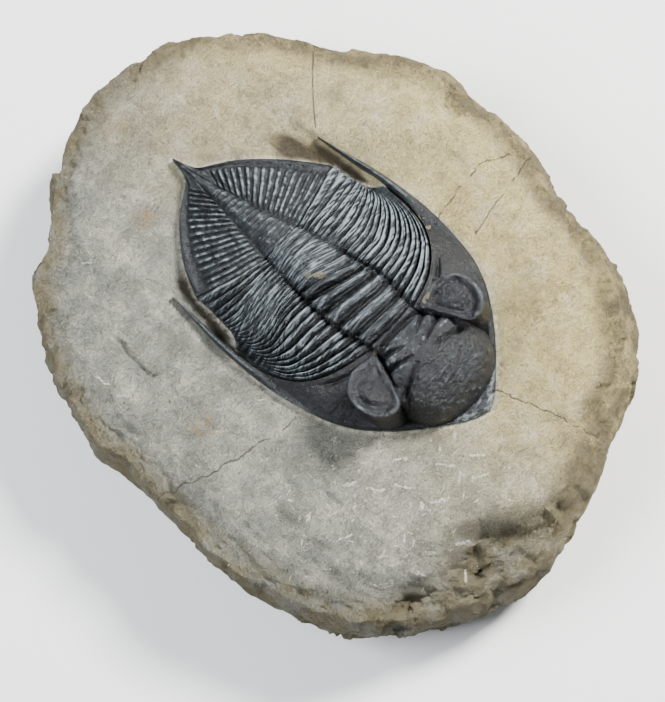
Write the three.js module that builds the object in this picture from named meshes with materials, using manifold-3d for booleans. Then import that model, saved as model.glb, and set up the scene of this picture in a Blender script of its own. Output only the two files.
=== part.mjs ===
// A fossil trilobite, prepared in relief on its block of limestone.
// The block lies on its flat back. The fossil's head points to -Y, its tail spine to +Y, and +Z is up.
// The pieces of the fossil are those of the animal's own shell: the head shield with its two long cheek
// spines, eleven jointed thorax segments, and the ribbed tail shield with its end spine.
// Lengths are in millimetres.
import * as THREE from "three";
import { mergeVertices } from "three/addons/utils/BufferGeometryUtils.js";
import Module from "manifold-3d";

const wasm = await Module();
wasm.setup();

// Driving dimensions

const SEGMENT_COUNT = 11;
const TAIL_RIB_COUNT = 17;

const SEAT_Z = 25;
const GAP = 0.3;
const FOSSIL_BASE_Z = SEAT_Z + GAP;
const MARGIN_Z = 28;

const ROCK_Z = 27.3;
const ROCK_RIM_DROP = 3.4;
const ROCK_WAIST_Z = 17;
const ROCK_CHAMFER = 2.6;
const ROCK_FOOT_INSET = 6.5;

// The widest outline of the rock, seen from above, counter-clockwise from the front right.
const ROCK_OUTLINE = [
  [14.2, -60.5], [24, -57], [32.5, -50.5], [38, -43.2], [41.8, -34], [42.5, -27.5], [46, -17.5], [49.5, -8],
  [50.3, 3], [50.7, 14], [46.8, 25], [40.2, 36.6], [35.6, 45.8], [32.8, 52], [23.4, 62.8], [15.8, 66.6],
  [7.5, 69.8], [-1, 70.8], [-10.6, 69], [-18.4, 65.7], [-25.2, 61], [-31.2, 56.2], [-38, 54], [-44, 48],
  [-50, 39.8], [-54, 28.6], [-57, 20], [-56.2, 10.8], [-57.8, -5], [-58.6, -16], [-56.2, -33],
  [-51, -46.5], [-41, -56], [-30, -63.4], [-17.5, -67], [-2.5, -65.3],
];

// Outer edge of the head shield on the right side, from the snout back to the tip of the cheek spine.
const HEAD_MARGIN = [
  [0, -40.2], [3, -38.9], [6.6, -36.2], [11, -32.4], [15.2, -28], [18.9, -23], [21.4, -17.6], [22.9, -11],
  [23.8, -4.2], [24, 2], [23.8, 8], [23.2, 14], [22.5, 19], [21.9, 23.8],
];
// Inner edge of the cheek spine, from the end of the head's rear edge to the spine's tip.
const SPINE_INNER_EDGE = [[22.4, 5.9], [22.38, 9.5], [22.15, 13.6], [21.87, 18.8], [21.72, 23.6]];
// The share of the head's margin that faces the thorax. The rest is the outer edge of the cheek spine.
const REAR_EDGE_SHARE = 0.74;

// The joint lines between the thorax segments, from the head back to the tail shield: where each crosses the
// midline, and where it meets the flank. The front ones run back together beside the cheek spine.
const JOINT_Y = [-16.6, -13.1, -9.6, -6.1, -2.8, -0.3, 1.9, 4, 6.1, 8.1, 10.1, 12];
const JOINT_TIPS = [
  [22.1, 6.2], [21.72, 6.5], [21.35, 6.8], [21, 7.1], [20.68, 7.5], [20.4, 7.9], [20.15, 8.4], [19.95, 9.1],
  [19.75, 10.1], [19.55, 11.6], [19.2, 14.2], [18.9, 18.5],
];
// How sharply a joint line swings back near its end: stations of [number, power] for its x and its y.
const JOINT_FLARE = [[0, 2.5], [5, 1.9], [8, 1.3], [11, 1]];
const JOINT_BEND = [[0, 1.4], [5, 1.9], [8, 1.8], [11, 1.35]];
const RING_BULGE = 0.8;

// The tail shield's two rails on the right side: the furrow beside its axis, and its outer margin.
const TAIL_FURROW = [
  [4.4, 12], [3.7, 15], [3.1, 18.2], [2.6, 21.8], [2.1, 25.4], [1.5, 29.5], [0.9, 33.6], [0.45, 38],
  [0.08, 43.4],
];
const TAIL_MARGIN = [
  [18.9, 18.5], [17, 22.2], [14.4, 26.4], [11.2, 30.4], [7.9, 33.8], [4.6, 36.2], [2, 38], [0.9, 40.3],
  [0.16, 43.6],
];

// Stations of [y, value] along the fossil's midline.
const AXIS_HALF_WIDTH = [
  [-18, 5.4], [-12, 6.5], [-7, 6.9], [-2, 6.3], [3, 5.6], [8, 5], [12, 4.4], [17, 3.4], [22, 2.7],
  [26.5, 2], [30.5, 1.4], [36.2, 0.5], [43.4, 0.1],
];
const AXIS_TOP_Z = [
  [-18, 38.9], [-10, 39.7], [-2, 40], [6, 39], [12, 37.4], [18, 35.2], [26, 32.4], [32, 30.8], [36, 29.9],
  [39, 29.4], [43.6, 28.6],
];
const FURROW_DEPTH = [[-18, 3], [-8, 3.5], [4, 3.4], [12, 2.5], [20, 1.9], [30, 1.1], [36, 0.5], [43.6, 0.2]];

// The rock has pushed the fossil's left side back and its right side forward: [y, slide per mm across].
const TRUNK_LEAN = [[-40, 0], [-23, 0.03], [5, 0.04], [16, 0.1], [26, 0.14], [36, 0.1], [43.6, 0]];
const HEAD_LEAN = TRUNK_LEAN.slice(0, 3);
// The twist of the middle lobe between its two furrows: [y, slide of its sides].
const AXIS_TWIST = [[-21, 0], [-16, 0.4], [-10.5, 0.75], [-6, 1.4], [-2.2, 2.3], [3, 1.4], [8, 0.5], [12, 0]];

// The glabella, which is the head's middle lobe: half width and crest height.
const GLABELLA_HALF_WIDTH = [
  [-31, 9.9], [-29, 9.7], [-27, 8.9], [-25, 7.9], [-22.5, 6.9], [-20.5, 6.1], [-18.5, 5.5], [-16, 5.6],
];
const GLABELLA_CREST_Z = [[-36.3, 36.4], [-32, 37.8], [-28, 39], [-23, 39.9], [-18, 39.6], [-15, 38.8]];
const GLABELLA_SIDE_Z = 37.3;
const GLABELLA_FRONT = { y: -29, reach: 7.9, halfWidth: 9.9 };
// Its side furrows, each from its outer to its inner end: [x, y].
const GLABELLA_FURROWS = [
  { outer: [5.6, -19.2], inner: [1.8, -21.7], depth: 1.6, width: 0.75 },
  { outer: [6, -22.9], inner: [1.8, -24.1], depth: 1.5, width: 0.75 },
  { outer: [8, -28.2], inner: [2.2, -26.7], depth: 1.3, width: 0.8 },
];
const OCCIPITAL_FURROW_Y = -18.5;

// The right eye's rim from above, counter-clockwise from its outermost point. It is round outside, and its
// straight inner side lies along the glabella and ends in a tongue.
const EYE_PLAN = [
  [16.4, -23], [15.3, -19.6], [12.3, -17.8], [9.2, -17.8], [6.3, -18.3], [7.4, -21.9], [8.9, -25.6],
  [10.4, -28.4], [12.9, -29], [15.5, -26.8],
];
const EYE = { x: 11.9, y: -23.2, rimZ: 40.5, innerZ: 38.7, innerX: 6.5, levelX: 13 };
// Its rings from the foot up: size as a share of the plan, and height above or below the rim.
const EYE_RINGS = [
  { size: 1.04, drop: 9.5 },
  { size: 0.96, drop: 6 },
  { size: 1, drop: 1.1 },
  { size: 0.92, drop: 0 },
  { size: 0.72, drop: 0.9 },
  { size: 0.42, drop: 0.55 },
];

// Height of the cheek above the margin, by distance in from the head's edge.
const CHEEK_RISE = [[0, 0], [1.2, 0.75], [2.6, 0.8], [3.4, 0.75], [5.5, 2.3], [9.2, 5.8], [14, 7.9], [24, 8.4]];

// Flakes broken out of the rock's edge: centre, radius and depth.
const ROCK_CHIPS = [
  { x: -24, y: -63, radius: 17, depth: 7 },
  { x: -40, y: -58, radius: 12, depth: 5 },
  { x: -9, y: -68, radius: 9, depth: 3.5 },
  { x: 52, y: 2, radius: 11, depth: 3.5 },
  { x: 46, y: -31, radius: 9, depth: 3 },
  { x: -58, y: 33, radius: 10, depth: 2.5 },
  { x: 38, y: 52, radius: 9, depth: 2 },
];

// Curves

const clampUnit = (t) => Math.min(1, Math.max(0, t));

function ease(low, high, x) {
  const t = clampUnit((x - low) / (high - low));
  return t * t * (3 - 2 * t);
}

const bell = (x, centre, width) => Math.exp(-(((x - centre) / width) ** 2));

const mix = (a, b, t) => a + (b - a) * t;

// The value at x of a smooth curve through [x, value] stations, level beyond its ends.
function through(stations, x) {
  const last = stations.length - 1;
  if (x <= stations[0][0]) return stations[0][1];
  if (x >= stations[last][0]) return stations[last][1];
  let i = 0;
  while (stations[i + 1][0] < x) i += 1;
  const slope = (k) => {
    const [a, b] = [Math.max(k - 1, 0), Math.min(k + 1, last)];
    return (stations[b][1] - stations[a][1]) / (stations[b][0] - stations[a][0]);
  };
  const span = stations[i + 1][0] - stations[i][0];
  const t = (x - stations[i][0]) / span;
  const [t2, t3] = [t * t, t * t * t];
  return (
    (2 * t3 - 3 * t2 + 1) * stations[i][1] +
    (t3 - 2 * t2 + t) * span * slope(i) +
    (3 * t2 - 2 * t3) * stations[i + 1][1] +
    (t3 - t2) * span * slope(i + 1)
  );
}

// Slides y by how far the rock has pushed one side of the fossil back and twisted its middle lobe.
function leaned(x, y, lean = TRUNK_LEAN) {
  const twist = through(AXIS_TWIST, y) * Math.tanh(x / 5) * (1 - ease(10, 20, Math.abs(x)));
  return y - through(lean, y) * x - twist;
}

// A plan curve through [x, y] points, read by a share of its length in stations.
function rail(points, closed = false) {
  const curve = new THREE.CatmullRomCurve3(
    points.map(([x, y]) => new THREE.Vector3(x, y, 0)),
    closed,
    "catmullrom",
  );
  return (t) => curve.getPoint(clampUnit(t));
}

const byNumber = (values) => values.map((value, i) => [i, value]);
const JOINT_TIP_X = byNumber(JOINT_TIPS.map(([x]) => x));
const JOINT_TIP_Y = byNumber(JOINT_TIPS.map(([, y]) => y));
const jointY = (number) => through(byNumber(JOINT_Y), number);

// The joint line numbered from 0 at the head to SEGMENT_COUNT at the tail, at a signed share of its reach:
// 0 on the midline and 1 at the right flank.
function jointPoint(number, across) {
  const y = jointY(number);
  const tipX = through(JOINT_TIP_X, number);
  const furrowX = through(AXIS_HALF_WIDTH, y);
  const x = Math.abs(across) * tipX;
  const side = Math.sign(across) || 1;
  if (x < furrowX) {
    return { x: side * x, y: y - RING_BULGE * (1 - (x / furrowX) ** 2), flank: 0, axis: x / furrowX };
  }
  const swing = Math.min(1, (x - furrowX) / (tipX - furrowX));
  const flank = 1 - (1 - swing) ** through(JOINT_FLARE, number);
  const back = (through(JOINT_TIP_Y, number) - y) * swing ** through(JOINT_BEND, number);
  return { x: side * mix(furrowX, tipX, flank), y: y + back, flank, axis: 1 };
}

// The share of the first joint line's reach at which it has come out to x.
function firstJointShare(x) {
  const tipX = JOINT_TIPS[0][0];
  const furrowX = through(AXIS_HALF_WIDTH, JOINT_Y[0]);
  if (x < furrowX) return x / tipX;
  const swing = 1 - (1 - clampUnit((x - furrowX) / (tipX - furrowX))) ** (1 / JOINT_FLARE[0][1]);
  return mix(furrowX, tipX, swing) / tipX;
}

// Height of the unsculpted back at a station of the axis: axis runs 0 to 1 over the middle lobe, and flank
// runs 0 to 1 from its furrow to the margin.
function backHeight(y, axis, flank, steepness) {
  const crest = through(AXIS_TOP_Z, y);
  const furrow = crest - through(FURROW_DEPTH, y);
  if (flank <= 0) return mix(crest, furrow, axis ** 2.4);
  return mix(furrow, MARGIN_Z + 0.4, flank ** steepness) + 0.35 * Math.sin(Math.PI * Math.min(1, flank * 2.5));
}

// Closed bodies

function toSolid(geometry) {
  const bare = new THREE.BufferGeometry().setAttribute("position", geometry.getAttribute("position"));
  bare.setIndex(geometry.index);
  const merged = mergeVertices(bare, 1e-4);
  return new wasm.Manifold(
    new wasm.Mesh({
      numProp: 3,
      vertProperties: merged.getAttribute("position").array,
      triVerts: new Uint32Array(merged.index.array),
    }),
  );
}

function fromSolid(solid) {
  const { vertProperties, triVerts } = solid.getMesh();
  return new THREE.BufferGeometry()
    .setAttribute("position", new THREE.BufferAttribute(vertProperties, 3))
    .setIndex(new THREE.BufferAttribute(triVerts, 1));
}

// The edge of a grid of points, counter-clockwise from above when u runs to +X and v runs to +Y.
function edgeOf(grid) {
  const [columns, rows] = [grid.length - 1, grid[0].length - 1];
  const edge = [];
  for (let i = 0; i < columns; i += 1) edge.push(grid[i][0]);
  for (let j = 0; j < rows; j += 1) edge.push(grid[columns][j]);
  for (let i = columns; i > 0; i -= 1) edge.push(grid[i][rows]);
  for (let j = rows; j > 0; j -= 1) edge.push(grid[0][j]);
  return edge;
}

// A closed body of rings stacked from a foot, ring 0, to a crown. The first and last are single points, and
// place gives the point of a ring at a turn in radians.
function ringBody(rings, columns, place) {
  const profile = Array.from({ length: rings + 1 }, (_, k) => new THREE.Vector2(k % rings ? 1 : 0, k));
  const lathe = new THREE.LatheGeometry(profile, columns);
  const position = lathe.getAttribute("position");
  for (let i = 0; i < position.count; i += 1) {
    const turn = Math.atan2(position.getX(i), position.getZ(i));
    const { x, y, z } = place(Math.round(position.getY(i)), turn < -1e-6 ? turn + 2 * Math.PI : Math.max(0, turn));
    position.setXYZ(i, x, y, z);
  }
  lathe.deleteAttribute("normal");
  lathe.deleteAttribute("uv");
  const closed = mergeVertices(lathe, 1e-4);
  const kept = [];
  for (let k = 0; k < closed.index.count; k += 3) {
    const [a, b, c] = [0, 1, 2].map((corner) => closed.index.getX(k + corner));
    if (a !== b && b !== c && c !== a) kept.push(a, b, c);
  }
  return closed.setIndex(kept);
}

// A closed body under a grid of surface points, with upright sides down to the fossil's level base.
function bodyUnder(surface, lean) {
  const grid = surface.map((points) => points.map((p) => new THREE.Vector3(p.x, leaned(p.x, p.y, lean), p.z)));
  const corners = [];
  const face = (...points) => points.forEach((p) => corners.push(p.x, p.y, p.z));
  const down = (p) => new THREE.Vector3(p.x, p.y, FOSSIL_BASE_Z);
  for (let i = 0; i + 1 < grid.length; i += 1) {
    for (let j = 0; j + 1 < grid[0].length; j += 1) {
      const [a, b, c, d] = [grid[i][j], grid[i + 1][j], grid[i + 1][j + 1], grid[i][j + 1]];
      face(a, b, c);
      face(a, c, d);
    }
  }
  const edge = edgeOf(grid);
  edge.forEach((p, k) => {
    const next = edge[(k + 1) % edge.length];
    face(down(p), down(next), next);
    face(down(p), next, p);
  });
  const outline = edge.map((p) => new THREE.Vector2(p.x, p.y));
  THREE.ShapeUtils.triangulateShape(outline, []).forEach(([a, b, c]) => {
    face(down(edge[a]), down(edge[c]), down(edge[b]));
  });
  const soup = new THREE.BufferGeometry();
  soup.setAttribute("position", new THREE.Float32BufferAttribute(corners, 3));
  return mergeVertices(soup, 1e-4);
}

// Head shield

const headMargin = rail(HEAD_MARGIN);
const headMarginPoints = Array.from({ length: 81 }, (_, k) => headMargin(k / 80));
const spineInnerEdge = rail(SPINE_INNER_EDGE);
const eyePlan = rail(EYE_PLAN, true);

// The head's inner edge, facing the same share of its outer margin.
function headInner(t) {
  if (t > REAR_EDGE_SHARE) return spineInnerEdge((t - REAR_EDGE_SHARE) / (1 - REAR_EDGE_SHARE));
  const share = t / REAR_EDGE_SHARE;
  const { x, y } = jointPoint(0, share);
  const shift = GAP * (0.6 + 0.4 * share);
  return new THREE.Vector3(x + shift * share, y - shift, 0);
}

function distanceToHeadMargin(x, y) {
  const at = new THREE.Vector3(Math.abs(x), y, 0);
  const nearest = new THREE.Vector3();
  const piece = new THREE.Line3();
  let least = Infinity;
  for (let k = 0; k + 1 < headMarginPoints.length; k += 1) {
    piece.set(headMarginPoints[k], headMarginPoints[k + 1]).closestPointToPoint(at, true, nearest);
    least = Math.min(least, nearest.distanceTo(at));
  }
  return least;
}

// Depth of a groove that runs from one end to the other and fades at both.
function grooveDepth(x, y, { outer, inner, depth, width }) {
  const [dx, dy] = [inner[0] - outer[0], inner[1] - outer[1]];
  const t = clampUnit(((x - outer[0]) * dx + (y - outer[1]) * dy) / (dx * dx + dy * dy));
  const off = Math.hypot(x - outer[0] - t * dx, y - outer[1] - t * dy);
  return depth * bell(off, 0, width);
}

function glabellaHeight(x, y) {
  const front = GLABELLA_FRONT;
  const wide = through(GLABELLA_HALF_WIDTH, y);
  const off = y < front.y ? Math.hypot(x / front.halfWidth, (y - front.y) / front.reach) : x / wide;
  if (off >= 1) return { z: -Infinity, off };
  const crest = through(GLABELLA_CREST_Z, y);
  const foot = mix(MARGIN_Z + 0.9, GLABELLA_SIDE_Z, ease(-29, -24, y));
  return { z: foot + (crest - foot) * (1 - off ** 2.6) ** 0.62, off };
}

function headHeight(signedX, y) {
  const x = Math.abs(signedX);
  let z = MARGIN_Z + through(CHEEK_RISE, distanceToHeadMargin(x, y));
  const rear = ease(-24, -16, y) * (1 - ease(-7, -1, y));
  const { y: edgeY, flank, axis } = jointPoint(0, firstJointShare(x));
  z = mix(z, backHeight(JOINT_Y[0], axis, flank, 2), rear);
  const glabella = glabellaHeight(x, y);
  if (glabella.off < 1) {
    z = Math.max(glabella.z, mix(z, glabella.z, ease(-24, -18, y)));
    GLABELLA_FURROWS.forEach((furrow) => {
      z -= grooveDepth(x, y, furrow);
    });
  }
  z -= 0.6 * bell(glabella.off, 1, 0.07) * ease(-33, -28, y);
  z -= 1.1 * bell(y, OCCIPITAL_FURROW_Y - 0.5 * (x / 5.5) ** 2, 0.7) * (1 - ease(5, 7, x));
  z -= 0.9 * bell(y, edgeY - 2.1, 0.6) * ease(7, 9, x) * (1 - ease(15, 18, x));
  return z;
}

// The eye on the right side, 1, or the left side, -1.
function buildEye(side) {
  const rings = EYE_RINGS.length + 1;
  const body = ringBody(rings, 18, (ring, turn) => {
    const { size, drop } = EYE_RINGS[Math.min(Math.max(ring - 1, 0), EYE_RINGS.length - 1)];
    const scale = ring === 0 || ring === rings ? 0 : size;
    const rim = eyePlan((side > 0 ? turn : 3 * Math.PI - turn) / (2 * Math.PI) % 1);
    const [x, y] = [mix(EYE.x, rim.x, scale), mix(EYE.y, rim.y, scale)];
    const z = mix(EYE.rimZ, EYE.innerZ, clampUnit((EYE.levelX - x) / (EYE.levelX - EYE.innerX))) - drop;
    return new THREE.Vector3(side * x, leaned(side * x, y), z);
  });
  return toSolid(body);
}

function buildHead() {
  const [perSide, rows, rearColumns] = [30, 12, 25];
  const grid = [];
  for (let i = -perSide; i <= perSide; i += 1) {
    const column = Math.abs(i);
    const t =
      column < rearColumns
        ? (column / rearColumns) * REAR_EDGE_SHARE
        : mix(REAR_EDGE_SHARE, 1, (column - rearColumns) / (perSide - rearColumns));
    const [inner, outer] = [headInner(t), headMargin(t)];
    const side = Math.sign(i) || 1;
    const points = [];
    for (let j = 0; j <= rows; j += 1) {
      const across = j / rows;
      const [x, y] = [mix(outer.x, inner.x, across) * side, mix(outer.y, inner.y, across)];
      const spine = ease(-6, 3, y);
      const ridge = MARGIN_Z + 1.15 * Math.sin(Math.PI * across) - 0.6 * ease(4, 26, y);
      points.push(new THREE.Vector3(x, y, mix(headHeight(x, y), ridge, spine)));
    }
    grid.push(points);
  }
  const shield = toSolid(bodyUnder(grid, HEAD_LEAN));
  return fromSolid(shield.add(buildEye(1)).add(buildEye(-1)));
}

// Thorax

// Relief of one segment from its front edge, 0, to its rear edge, 1.
function segmentRelief(along, axis, flank) {
  const ring = -0.9 + 1.25 * ease(0, 0.35, along) - 0.5 * ease(0.85, 1, along);
  const bands = 0.35 * bell(along, 0.3, 0.16) - 0.55 * bell(along, 0.53, 0.1) + 0.5 * bell(along, 0.76, 0.15);
  const pleura = (bands - 0.55 * bell(along, 0, 0.1) - 0.45 * bell(along, 1, 0.1)) * (1 - 0.5 * ease(0.7, 1, flank));
  return flank > 0 || axis >= 1 ? pleura : mix(ring, pleura, axis ** 6);
}

function buildSegment(index) {
  const stops = [0, 0.06, 0.12, 0.19, 0.26, 0.33, 0.45, 0.6, 0.75, 0.89, 1];
  const acrossStops = [...stops.slice(1).map((s) => -s).reverse(), ...stops];
  const alongStops = [0, 0.3, 0.53, 0.76, 1];
  const flankGap = GAP + 0.05;
  const grid = acrossStops.map((across) => {
    const [front, rear] = [jointPoint(index, across), jointPoint(index + 1, across)];
    const clear = Math.min(0.2, GAP / 2 / Math.hypot(rear.x - front.x, rear.y - front.y));
    return alongStops.map((stop) => {
      const along = mix(clear, 1 - clear, stop);
      const rounded = 0.15 * stop * (1 - stop) * 4 * ease(0.9, 1, Math.abs(across));
      const inset = flankGap * ease(0.6, 1, Math.abs(across)) - rounded;
      const x = mix(front.x, rear.x, along) * (1 - inset / 21);
      const y = mix(front.y, rear.y, along) + rounded;
      const [axis, flank] = [mix(front.axis, rear.axis, along), mix(front.flank, rear.flank, along)];
      const station = jointY(index + along);
      const z = backHeight(station, axis, flank, 2) + segmentRelief(stop, axis, flank);
      return new THREE.Vector3(x, y, z);
    });
  });
  return bodyUnder(grid, TRUNK_LEAN);
}

// Tail shield

const tailFurrow = rail(TAIL_FURROW);
const tailMargin = rail(TAIL_MARGIN);
const TAIL_RIBS_END = 0.74;

function tailPoint(across, along) {
  const [furrow, margin] = [tailFurrow(along), tailMargin(along)];
  const axisShare = 0.3;
  const side = Math.sign(across) || 1;
  const reach = Math.abs(across);
  const rib = Math.sin(Math.PI * 2 * TAIL_RIB_COUNT * (along / TAIL_RIBS_END));
  const ribbed = 1 - ease(TAIL_RIBS_END - 0.06, TAIL_RIBS_END, along);
  if (reach < axisShare) {
    const axis = reach / axisShare;
    const bulge = RING_BULGE * (1 - along) ** 2 * (1 - axis ** 2);
    const z = backHeight(furrow.y, axis, 0, 2) + 0.22 * rib * ribbed * (1 - axis ** 4);
    return new THREE.Vector3(side * furrow.x * axis, furrow.y - bulge, z);
  }
  const flank = (reach - axisShare) / (1 - axisShare);
  const x = mix(furrow.x, margin.x, flank);
  const y = mix(furrow.y, margin.y, flank ** mix(through(JOINT_BEND, SEGMENT_COUNT), 1.1, ease(0, 0.3, along)));
  const rim = 0.45 * bell(flank, 0.94, 0.05) - 0.35 * bell(flank, 0.84, 0.05);
  const relief = 0.34 * rib * ribbed * ease(0, 0.12, flank) * (1 - ease(0.74, 0.86, flank));
  const z = backHeight(furrow.y, 1, flank, 1.8) + relief + rim * (1 - ease(0.7, 0.85, along));
  return new THREE.Vector3(side * x, y, z);
}

function buildTail() {
  const stops = [0, 0.15, 0.3, 0.36, 0.5, 0.66, 0.8, 0.87, 0.94, 1];
  const acrossStops = [...stops.slice(1).map((s) => -s).reverse(), ...stops];
  const ribRows = TAIL_RIB_COUNT * 2;
  const alongStops = [0];
  for (let k = 0; k < ribRows; k += 1) alongStops.push(((k + 0.5) / ribRows) * TAIL_RIBS_END);
  alongStops.push(0.76, 0.82, 0.88, 0.94, 1);
  const grid = acrossStops.map((across) =>
    alongStops.map((along) => {
      const point = tailPoint(across, along);
      point.y += (GAP / 2) * (1 - ease(0, 0.06, along));
      return point;
    }),
  );
  return bodyUnder(grid, TRUNK_LEAN);
}

// Rock

const rockOutline = rail(ROCK_OUTLINE, true);

// The fossil's footprint without the cheek spines: flanks of the thorax and the tail's margin.
function trunkFootprint() {
  const flank = JOINT_TIPS.map(([x, y]) => [x, y]);
  for (let k = 1; k <= 24; k += 1) {
    const { x, y } = tailMargin(k / 24);
    flank.push([x, y]);
  }
  const front = Array.from({ length: 15 }, (_, k) => jointPoint(0, 1 - (k + 1) / 16));
  return [
    ...flank,
    ...flank.slice().reverse().map(([x, y]) => [-x, y]),
    ...front.map(({ x, y }) => [-x, y]),
    [0, jointPoint(0, 0).y],
    ...front.slice().reverse().map(({ x, y }) => [x, y]),
  ].map(([x, y]) => new THREE.Vector2(x, leaned(x, y)));
}

function headFootprint() {
  const steps = 60;
  const right = Array.from({ length: steps + 1 }, (_, k) => headMargin(k / steps));
  const back = Array.from({ length: steps }, (_, k) => headInner(1 - k / steps));
  const half = [...right, ...back].map(({ x, y }) => new THREE.Vector2(x, y));
  const mirrored = half.slice(1).reverse().map(({ x, y }) => new THREE.Vector2(-x, y));
  const outline = [...half, new THREE.Vector2(0, jointPoint(0, 0).y), ...mirrored];
  return outline.map(({ x, y }) => new THREE.Vector2(x, leaned(x, y, HEAD_LEAN)));
}

// A counter-clockwise outline moved outwards all round.
function widened(outline, distance) {
  const count = outline.length;
  return outline.map((point, k) => {
    const [before, after] = [outline[(k + count - 1) % count], outline[(k + 1) % count]];
    const incoming = point.clone().sub(before).normalize();
    const outgoing = after.clone().sub(point).normalize();
    const normal = new THREE.Vector2(incoming.y + outgoing.y, -incoming.x - outgoing.x).normalize();
    const stretch = Math.max(0.45, normal.x * incoming.y - normal.y * incoming.x);
    return point.clone().addScaledVector(normal, distance / stretch);
  });
}

function prismOver(outline) {
  const shape = new THREE.Shape(outline);
  const prism = new THREE.ExtrudeGeometry(shape, { depth: 30, bevelEnabled: false });
  return toSolid(prism.translate(0, 0, SEAT_Z));
}

const distanceToSegment = (x, y, [ax, ay], [bx, by]) => {
  const [dx, dy] = [bx - ax, by - ay];
  const t = clampUnit(((x - ax) * dx + (y - ay) * dy) / (dx * dx + dy * dy));
  return Math.hypot(x - ax - t * dx, y - ay - t * dy);
};

function rockHeight(x, y, share) {
  const side = Math.abs(x);
  const nearFossil = Math.hypot(x / 25, (y + 1) / 42);
  let z = ROCK_Z + 1.1 * ease(1, 1.45, nearFossil);
  z -= 1.5 * bell(distanceToSegment(side, y, [21, 12], [17.5, 25]), 0, 3.2);
  z -= ROCK_RIM_DROP * ease(0.72, 1, share) ** 1.5;
  z += 0.5 * Math.sin(x * 0.17 + 1.3) * Math.sin(y * 0.13 + 0.4) * ease(1.1, 1.6, nearFossil);
  ROCK_CHIPS.forEach((chip) => {
    z -= chip.depth * (1 - ease(0.35, 1, Math.hypot(x - chip.x, y - chip.y) / chip.radius));
  });
  return Math.max(z, ROCK_WAIST_Z + 0.6);
}

function buildRock() {
  const columns = 58;
  const shares = [0.14, 0.3, 0.44, 0.56, 0.67, 0.77, 0.86, 0.93, 1];
  const skirt = [
    { z: ROCK_WAIST_Z, inset: 0 },
    { z: ROCK_WAIST_Z * 0.55, inset: 0.9 },
    { z: 2, inset: ROCK_FOOT_INSET * 0.7 },
    { z: 0, inset: ROCK_FOOT_INSET },
  ];
  const rings = shares.length + skirt.length + 1;
  const block = ringBody(rings, columns, (ring, turn) => {
    const rim = rockOutline(turn / (2 * Math.PI));
    const reach = Math.hypot(rim.x, rim.y);
    if (ring === 0) return new THREE.Vector3(0, 0, 0);
    if (ring <= skirt.length) {
      const { z, inset } = skirt[skirt.length - ring];
      const flake = inset > 0 && z > 0 ? 0.5 * Math.sin(turn * 17 + 0.8) + 0.4 * Math.sin(turn * 29 + 2.1) : 0;
      const share = 1 - (inset + flake) / reach;
      return new THREE.Vector3(rim.x * share, rim.y * share, z);
    }
    const outward = ring === rings ? 0 : shares[rings - 1 - ring];
    const share = outward * (1 - (ROCK_CHAMFER + 0.5 * Math.sin(turn * 5)) / reach);
    const [x, y] = [rim.x * share, rim.y * share];
    return new THREE.Vector3(x, y, rockHeight(x, y, outward));
  });
  const seat = prismOver(widened(trunkFootprint(), GAP)).add(prismOver(widened(headFootprint(), GAP)));
  return fromSolid(toSolid(block).subtract(seat));
}

// Assembly

const LIMESTONE = new THREE.MeshStandardMaterial({ color: 0xa39c88, roughness: 0.92, metalness: 0 });
const CALCITE = new THREE.MeshStandardMaterial({ color: 0x2c3034, roughness: 0.5, metalness: 0 });

function piece(name, geometry, material) {
  geometry.computeVertexNormals();
  const mesh = new THREE.Mesh(geometry, material);
  mesh.name = name;
  return mesh;
}

const fossil = new THREE.Group();
fossil.add(piece("head_shield", buildHead(), CALCITE));
for (let i = 0; i < SEGMENT_COUNT; i += 1) {
  fossil.add(piece(`thorax_segment_${String(i + 1).padStart(2, "0")}`, buildSegment(i), CALCITE));
}
fossil.add(piece("tail_shield", buildTail(), CALCITE));

const specimen = new THREE.Group();
specimen.add(piece("rock_matrix", buildRock(), LIMESTONE), fossil);

// The origin is on the underside, below the middle of the rock's box.
const middle = new THREE.Box3().setFromObject(specimen).getCenter(new THREE.Vector3());
specimen.position.set(-middle.x, -middle.y, 0);

const part = new THREE.Group();
part.add(specimen);

export default part;
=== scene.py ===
"""The looks of a fossil trilobite, prepared in relief on its limestone block."""

import logging
import math
from collections.abc import Callable, Sequence
from dataclasses import dataclass, field
from enum import Enum

import bpy
import numpy as np
from mathutils import Matrix, Vector


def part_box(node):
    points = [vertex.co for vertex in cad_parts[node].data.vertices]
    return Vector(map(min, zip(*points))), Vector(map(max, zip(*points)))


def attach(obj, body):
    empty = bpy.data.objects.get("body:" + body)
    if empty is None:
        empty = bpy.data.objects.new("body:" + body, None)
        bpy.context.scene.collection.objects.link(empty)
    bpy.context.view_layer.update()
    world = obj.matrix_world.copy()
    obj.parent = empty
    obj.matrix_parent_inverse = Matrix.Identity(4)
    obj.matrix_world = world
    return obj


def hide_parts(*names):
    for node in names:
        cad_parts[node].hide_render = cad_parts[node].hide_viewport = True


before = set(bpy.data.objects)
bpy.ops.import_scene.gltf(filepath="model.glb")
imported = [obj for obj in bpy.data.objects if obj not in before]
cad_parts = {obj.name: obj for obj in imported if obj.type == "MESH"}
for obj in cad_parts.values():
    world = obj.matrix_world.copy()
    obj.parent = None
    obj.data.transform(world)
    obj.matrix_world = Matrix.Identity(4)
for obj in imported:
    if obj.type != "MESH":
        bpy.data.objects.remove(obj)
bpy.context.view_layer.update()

LOG = logging.getLogger("fossil")
BODY = "root"
MM = 0.001
SMOOTH_ANGLE = math.radians(60)

Stations = Sequence[tuple[float, float]]
Array = np.ndarray


def ease(low: float, high: float, x: Array) -> Array:
    """Gives a smooth rise from 0 at low to 1 at high."""
    t = np.clip((np.asarray(x, float) - low) / (high - low), 0, 1)
    return t * t * (3 - 2 * t)


def bell(x: Array, centre: float | Array, width: float) -> Array:
    """Gives a smooth bump of height 1 at centre."""
    return np.exp(-(((np.asarray(x, float) - centre) / width) ** 2))


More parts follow.
